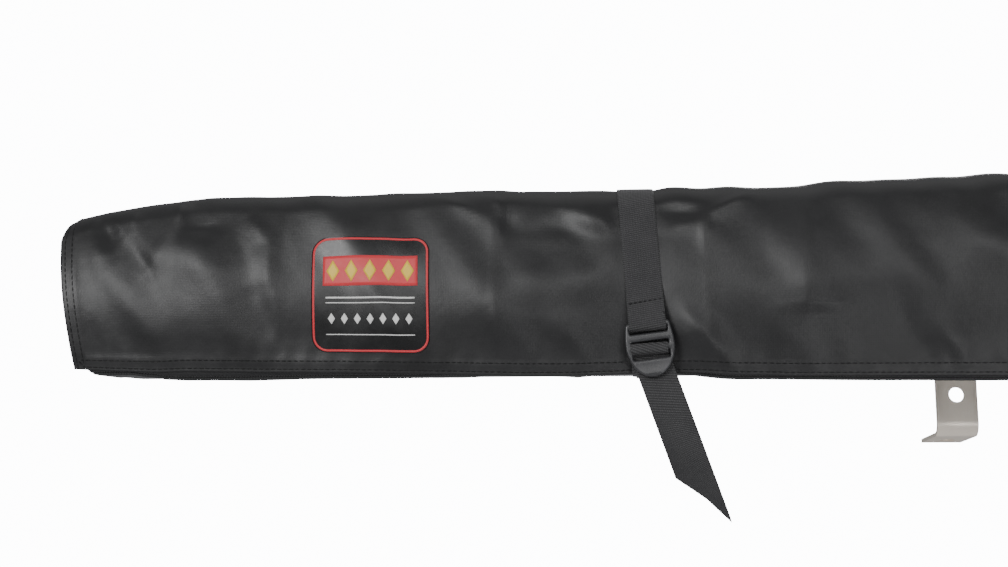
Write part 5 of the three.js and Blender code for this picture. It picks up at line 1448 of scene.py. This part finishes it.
def canopyLead(c):
    # from the board's track to the roll: an eased drop, a sag by half a sine, and long ripples
    low, high = box("canopy")
    barY, trackY = box("front_bar")[:, 1].mean(), c["leadFrom"]
    trackZ, topZ = high[2] - 3.5, low[2] + 2 * c["roll"] + c["coreTall"] + 0.8
    v = np.linspace(0, 1, c["leadRows"])[:, None]
    x = np.linspace(-high[0], high[0], c["leadColumns"])[None]
    y = trackY + (barY - trackY) * v + 0 * x
    ripple = 0.9 * np.sin(x / 120) + 0.5 * np.sin(x / 47 + 2) + 0.35 * np.sin(x / 23 + v * 2)
    hang = np.sin(np.pi * v) * ripple - c["sag"] * np.sin(np.pi * v) ** 0.8
    z = trackZ + (topZ - trackZ) * smooth(v) + hang
    top = np.stack([x + 0 * y, y, z + c["cloth"] / 2], -1)
    # the weave is laid out at the length that the cloth has when the bar is out
    mesh = slab("canopyLead", top, top - (0, 0, c["cloth"]), np.stack([x + 0 * y, y * 26], -1))
    lead = standIn("canopy", "canopy_lead", mesh, "canopy", rides=False)
    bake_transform(lead)


canopyRoll(canopy)
canopyLead(canopy)
print("canopy rolled")


# Frame nodes with a bevel on every edge, and the width of it
dressed = {
    "back_board": 0.35, "front_bar": 0.4, "zip_slider": 0.18, "zip_pull": 0.3,
    **{f"{name}_{side}": edge for side in ("left", "right") for name, edge in {
        "board_end_cap": 0.7, "arm_bracket": 0.5, "arm_pin": 0.35, "arm_knuckle": 0.8, "bar_end": 0.8,
        "leg_pin": 0.35, "leg_knuckle": 0.8, "bracket_bolt_lower": 0.3, "bracket_bolt_upper": 0.3,
        "bracket_nut_lower": 0.35, "bracket_nut_upper": 0.35}.items()},
}


def dressNode(name, edge, angle=38):
    # a merged copy of the node, its flat faces joined up, with a bevel along every edge past the angle
    mesh = frame["nodes"][name].data.copy()
    tidy = bmesh.new()
    tidy.from_mesh(mesh)
    bmesh.ops.remove_doubles(tidy, verts=tidy.verts, dist=1e-5)
    bmesh.ops.dissolve_limit(tidy, angle_limit=math.radians(1), verts=tidy.verts, edges=tidy.edges)
    tidy.to_mesh(mesh)
    tidy.free()
    mesh.materials.clear()
    mesh.polygons.foreach_set("use_smooth", np.ones(len(mesh.polygons), bool))
    piece = standIn(name, name + "_dressed", mesh, sharp=angle)
    bevel = piece.modifiers.new("edges", "BEVEL")
    bevel.width, bevel.segments, bevel.limit_method = edge * metres, 2, "ANGLE"
    bevel.angle_limit = math.radians(angle)
    bevel.harden_normals = True


for nodeName, edgeWidth in dressed.items():
    dressNode(nodeName, edgeWidth)
print("fittings dressed")


# Mounting brackets: a strip bent once, with holes for the rack bolt, the slot bolts and the foot
rackBracket = {
    "bend": 10, "round": 0.45, "thickest": 3.0,
    "hole": 5.5, "holeHeight": 30, "boltHole": 4.5, "footHole": 40,
}


def bentBracket(b, side):
    # the strip's rounded section carried down the upright and round the bend to the foot's end
    name = f"mounting_bracket_{side}"
    low, high = box(name)
    thick, width = min(high[1] - low[1], b["thickest"]), high[0] - low[0]
    middle, near, foot = (low[0] + high[0]) / 2, low[1] + thick / 2, low[2] + thick / 2
    route = roundedPath([(near, high[2]), (near, foot), (high[1], foot)], (b["bend"] - thick / 2,), 0.7)
    loop = roundedBox(-width / 2, width / 2, -thick / 2, thick / 2, b["round"], 4)
    points = np.empty((len(route), len(loop), 3))
    points[..., 0] = middle + loop[:, 0]
    points[..., 1:] = route[:, None] + sideways(route)[:, None] * loop[:, 1:]
    piece = standIn(name, name + "_bent", makeMesh(name, points, tubeFaces(*points.shape[:2])), sharp=40)
    recalculate(piece.data)
    bolts = [box(f"bracket_nut_{level}_{side}")[:, 2].mean() for level in ("lower", "upper")]
    for height, radius in [(b["holeHeight"], b["hole"]), *((z, b["boltHole"]) for z in bolts)]:
        cutHole(piece, (middle, height), radius, "y", -8, 8 + low[1] + thick, 48)
    cutHole(piece, (middle, b["footHole"]), b["hole"], "z", -8, 8, 48)


bentBracket(rackBracket, "left")
bentBracket(rackBracket, "right")
print("brackets bent")


# Ties round the rolled cloth
rollTie = {"thick": 1.2, "sides": 20, "oval": (0.5, 0.32)}


def tieRing(name, t, c):
    # the oval section of a strap carried once round the roll
    low, high = box(name)
    wide, tall = high[1:] - low[1:] - t["thick"]
    route = rollSection(wide, tall, c["corner"] + c["roll"], 2)[:-1]
    way = unitVectors(np.roll(route, -1, 0) - np.roll(route, 1, 0))
    out = np.column_stack([-way[:, 1], way[:, 0]])
    a, b = rounded(np.arange(t["sides"]) * 2 * np.pi / t["sides"], t["oval"])
    middle = (low + high) / 2
    points = np.empty((len(route), t["sides"], 3))
    points[..., 0] = middle[0] + a * (high[0] - low[0]) / 2
    points[..., 1:] = middle[1:] + route[:, None] + out[:, None] * (b * t["thick"] / 2)[:, None]
    uv = np.stack([np.broadcast_to(a * 12, points.shape[:2]), lengthAlong(route)[:, None] + 0 * a], -1)
    mesh = makeMesh(name, points, [gridFaces(*points.shape[:2], True, True)], uv)
    recalculate(mesh)
    squashOnBar(standIn(name, name + "_webbing", mesh))


tieRing("roll_tie_left", rollTie, canopy)
tieRing("roll_tie_right", rollTie, canopy)
print("roll tied")


# Finishes of the pieces that stay as the frame has them
for nodeName, thing in frame["nodes"].items():
    thing.data.materials.clear()
    thing.data.materials.append(finish[slotFinish[slotOf[nodeName]]])
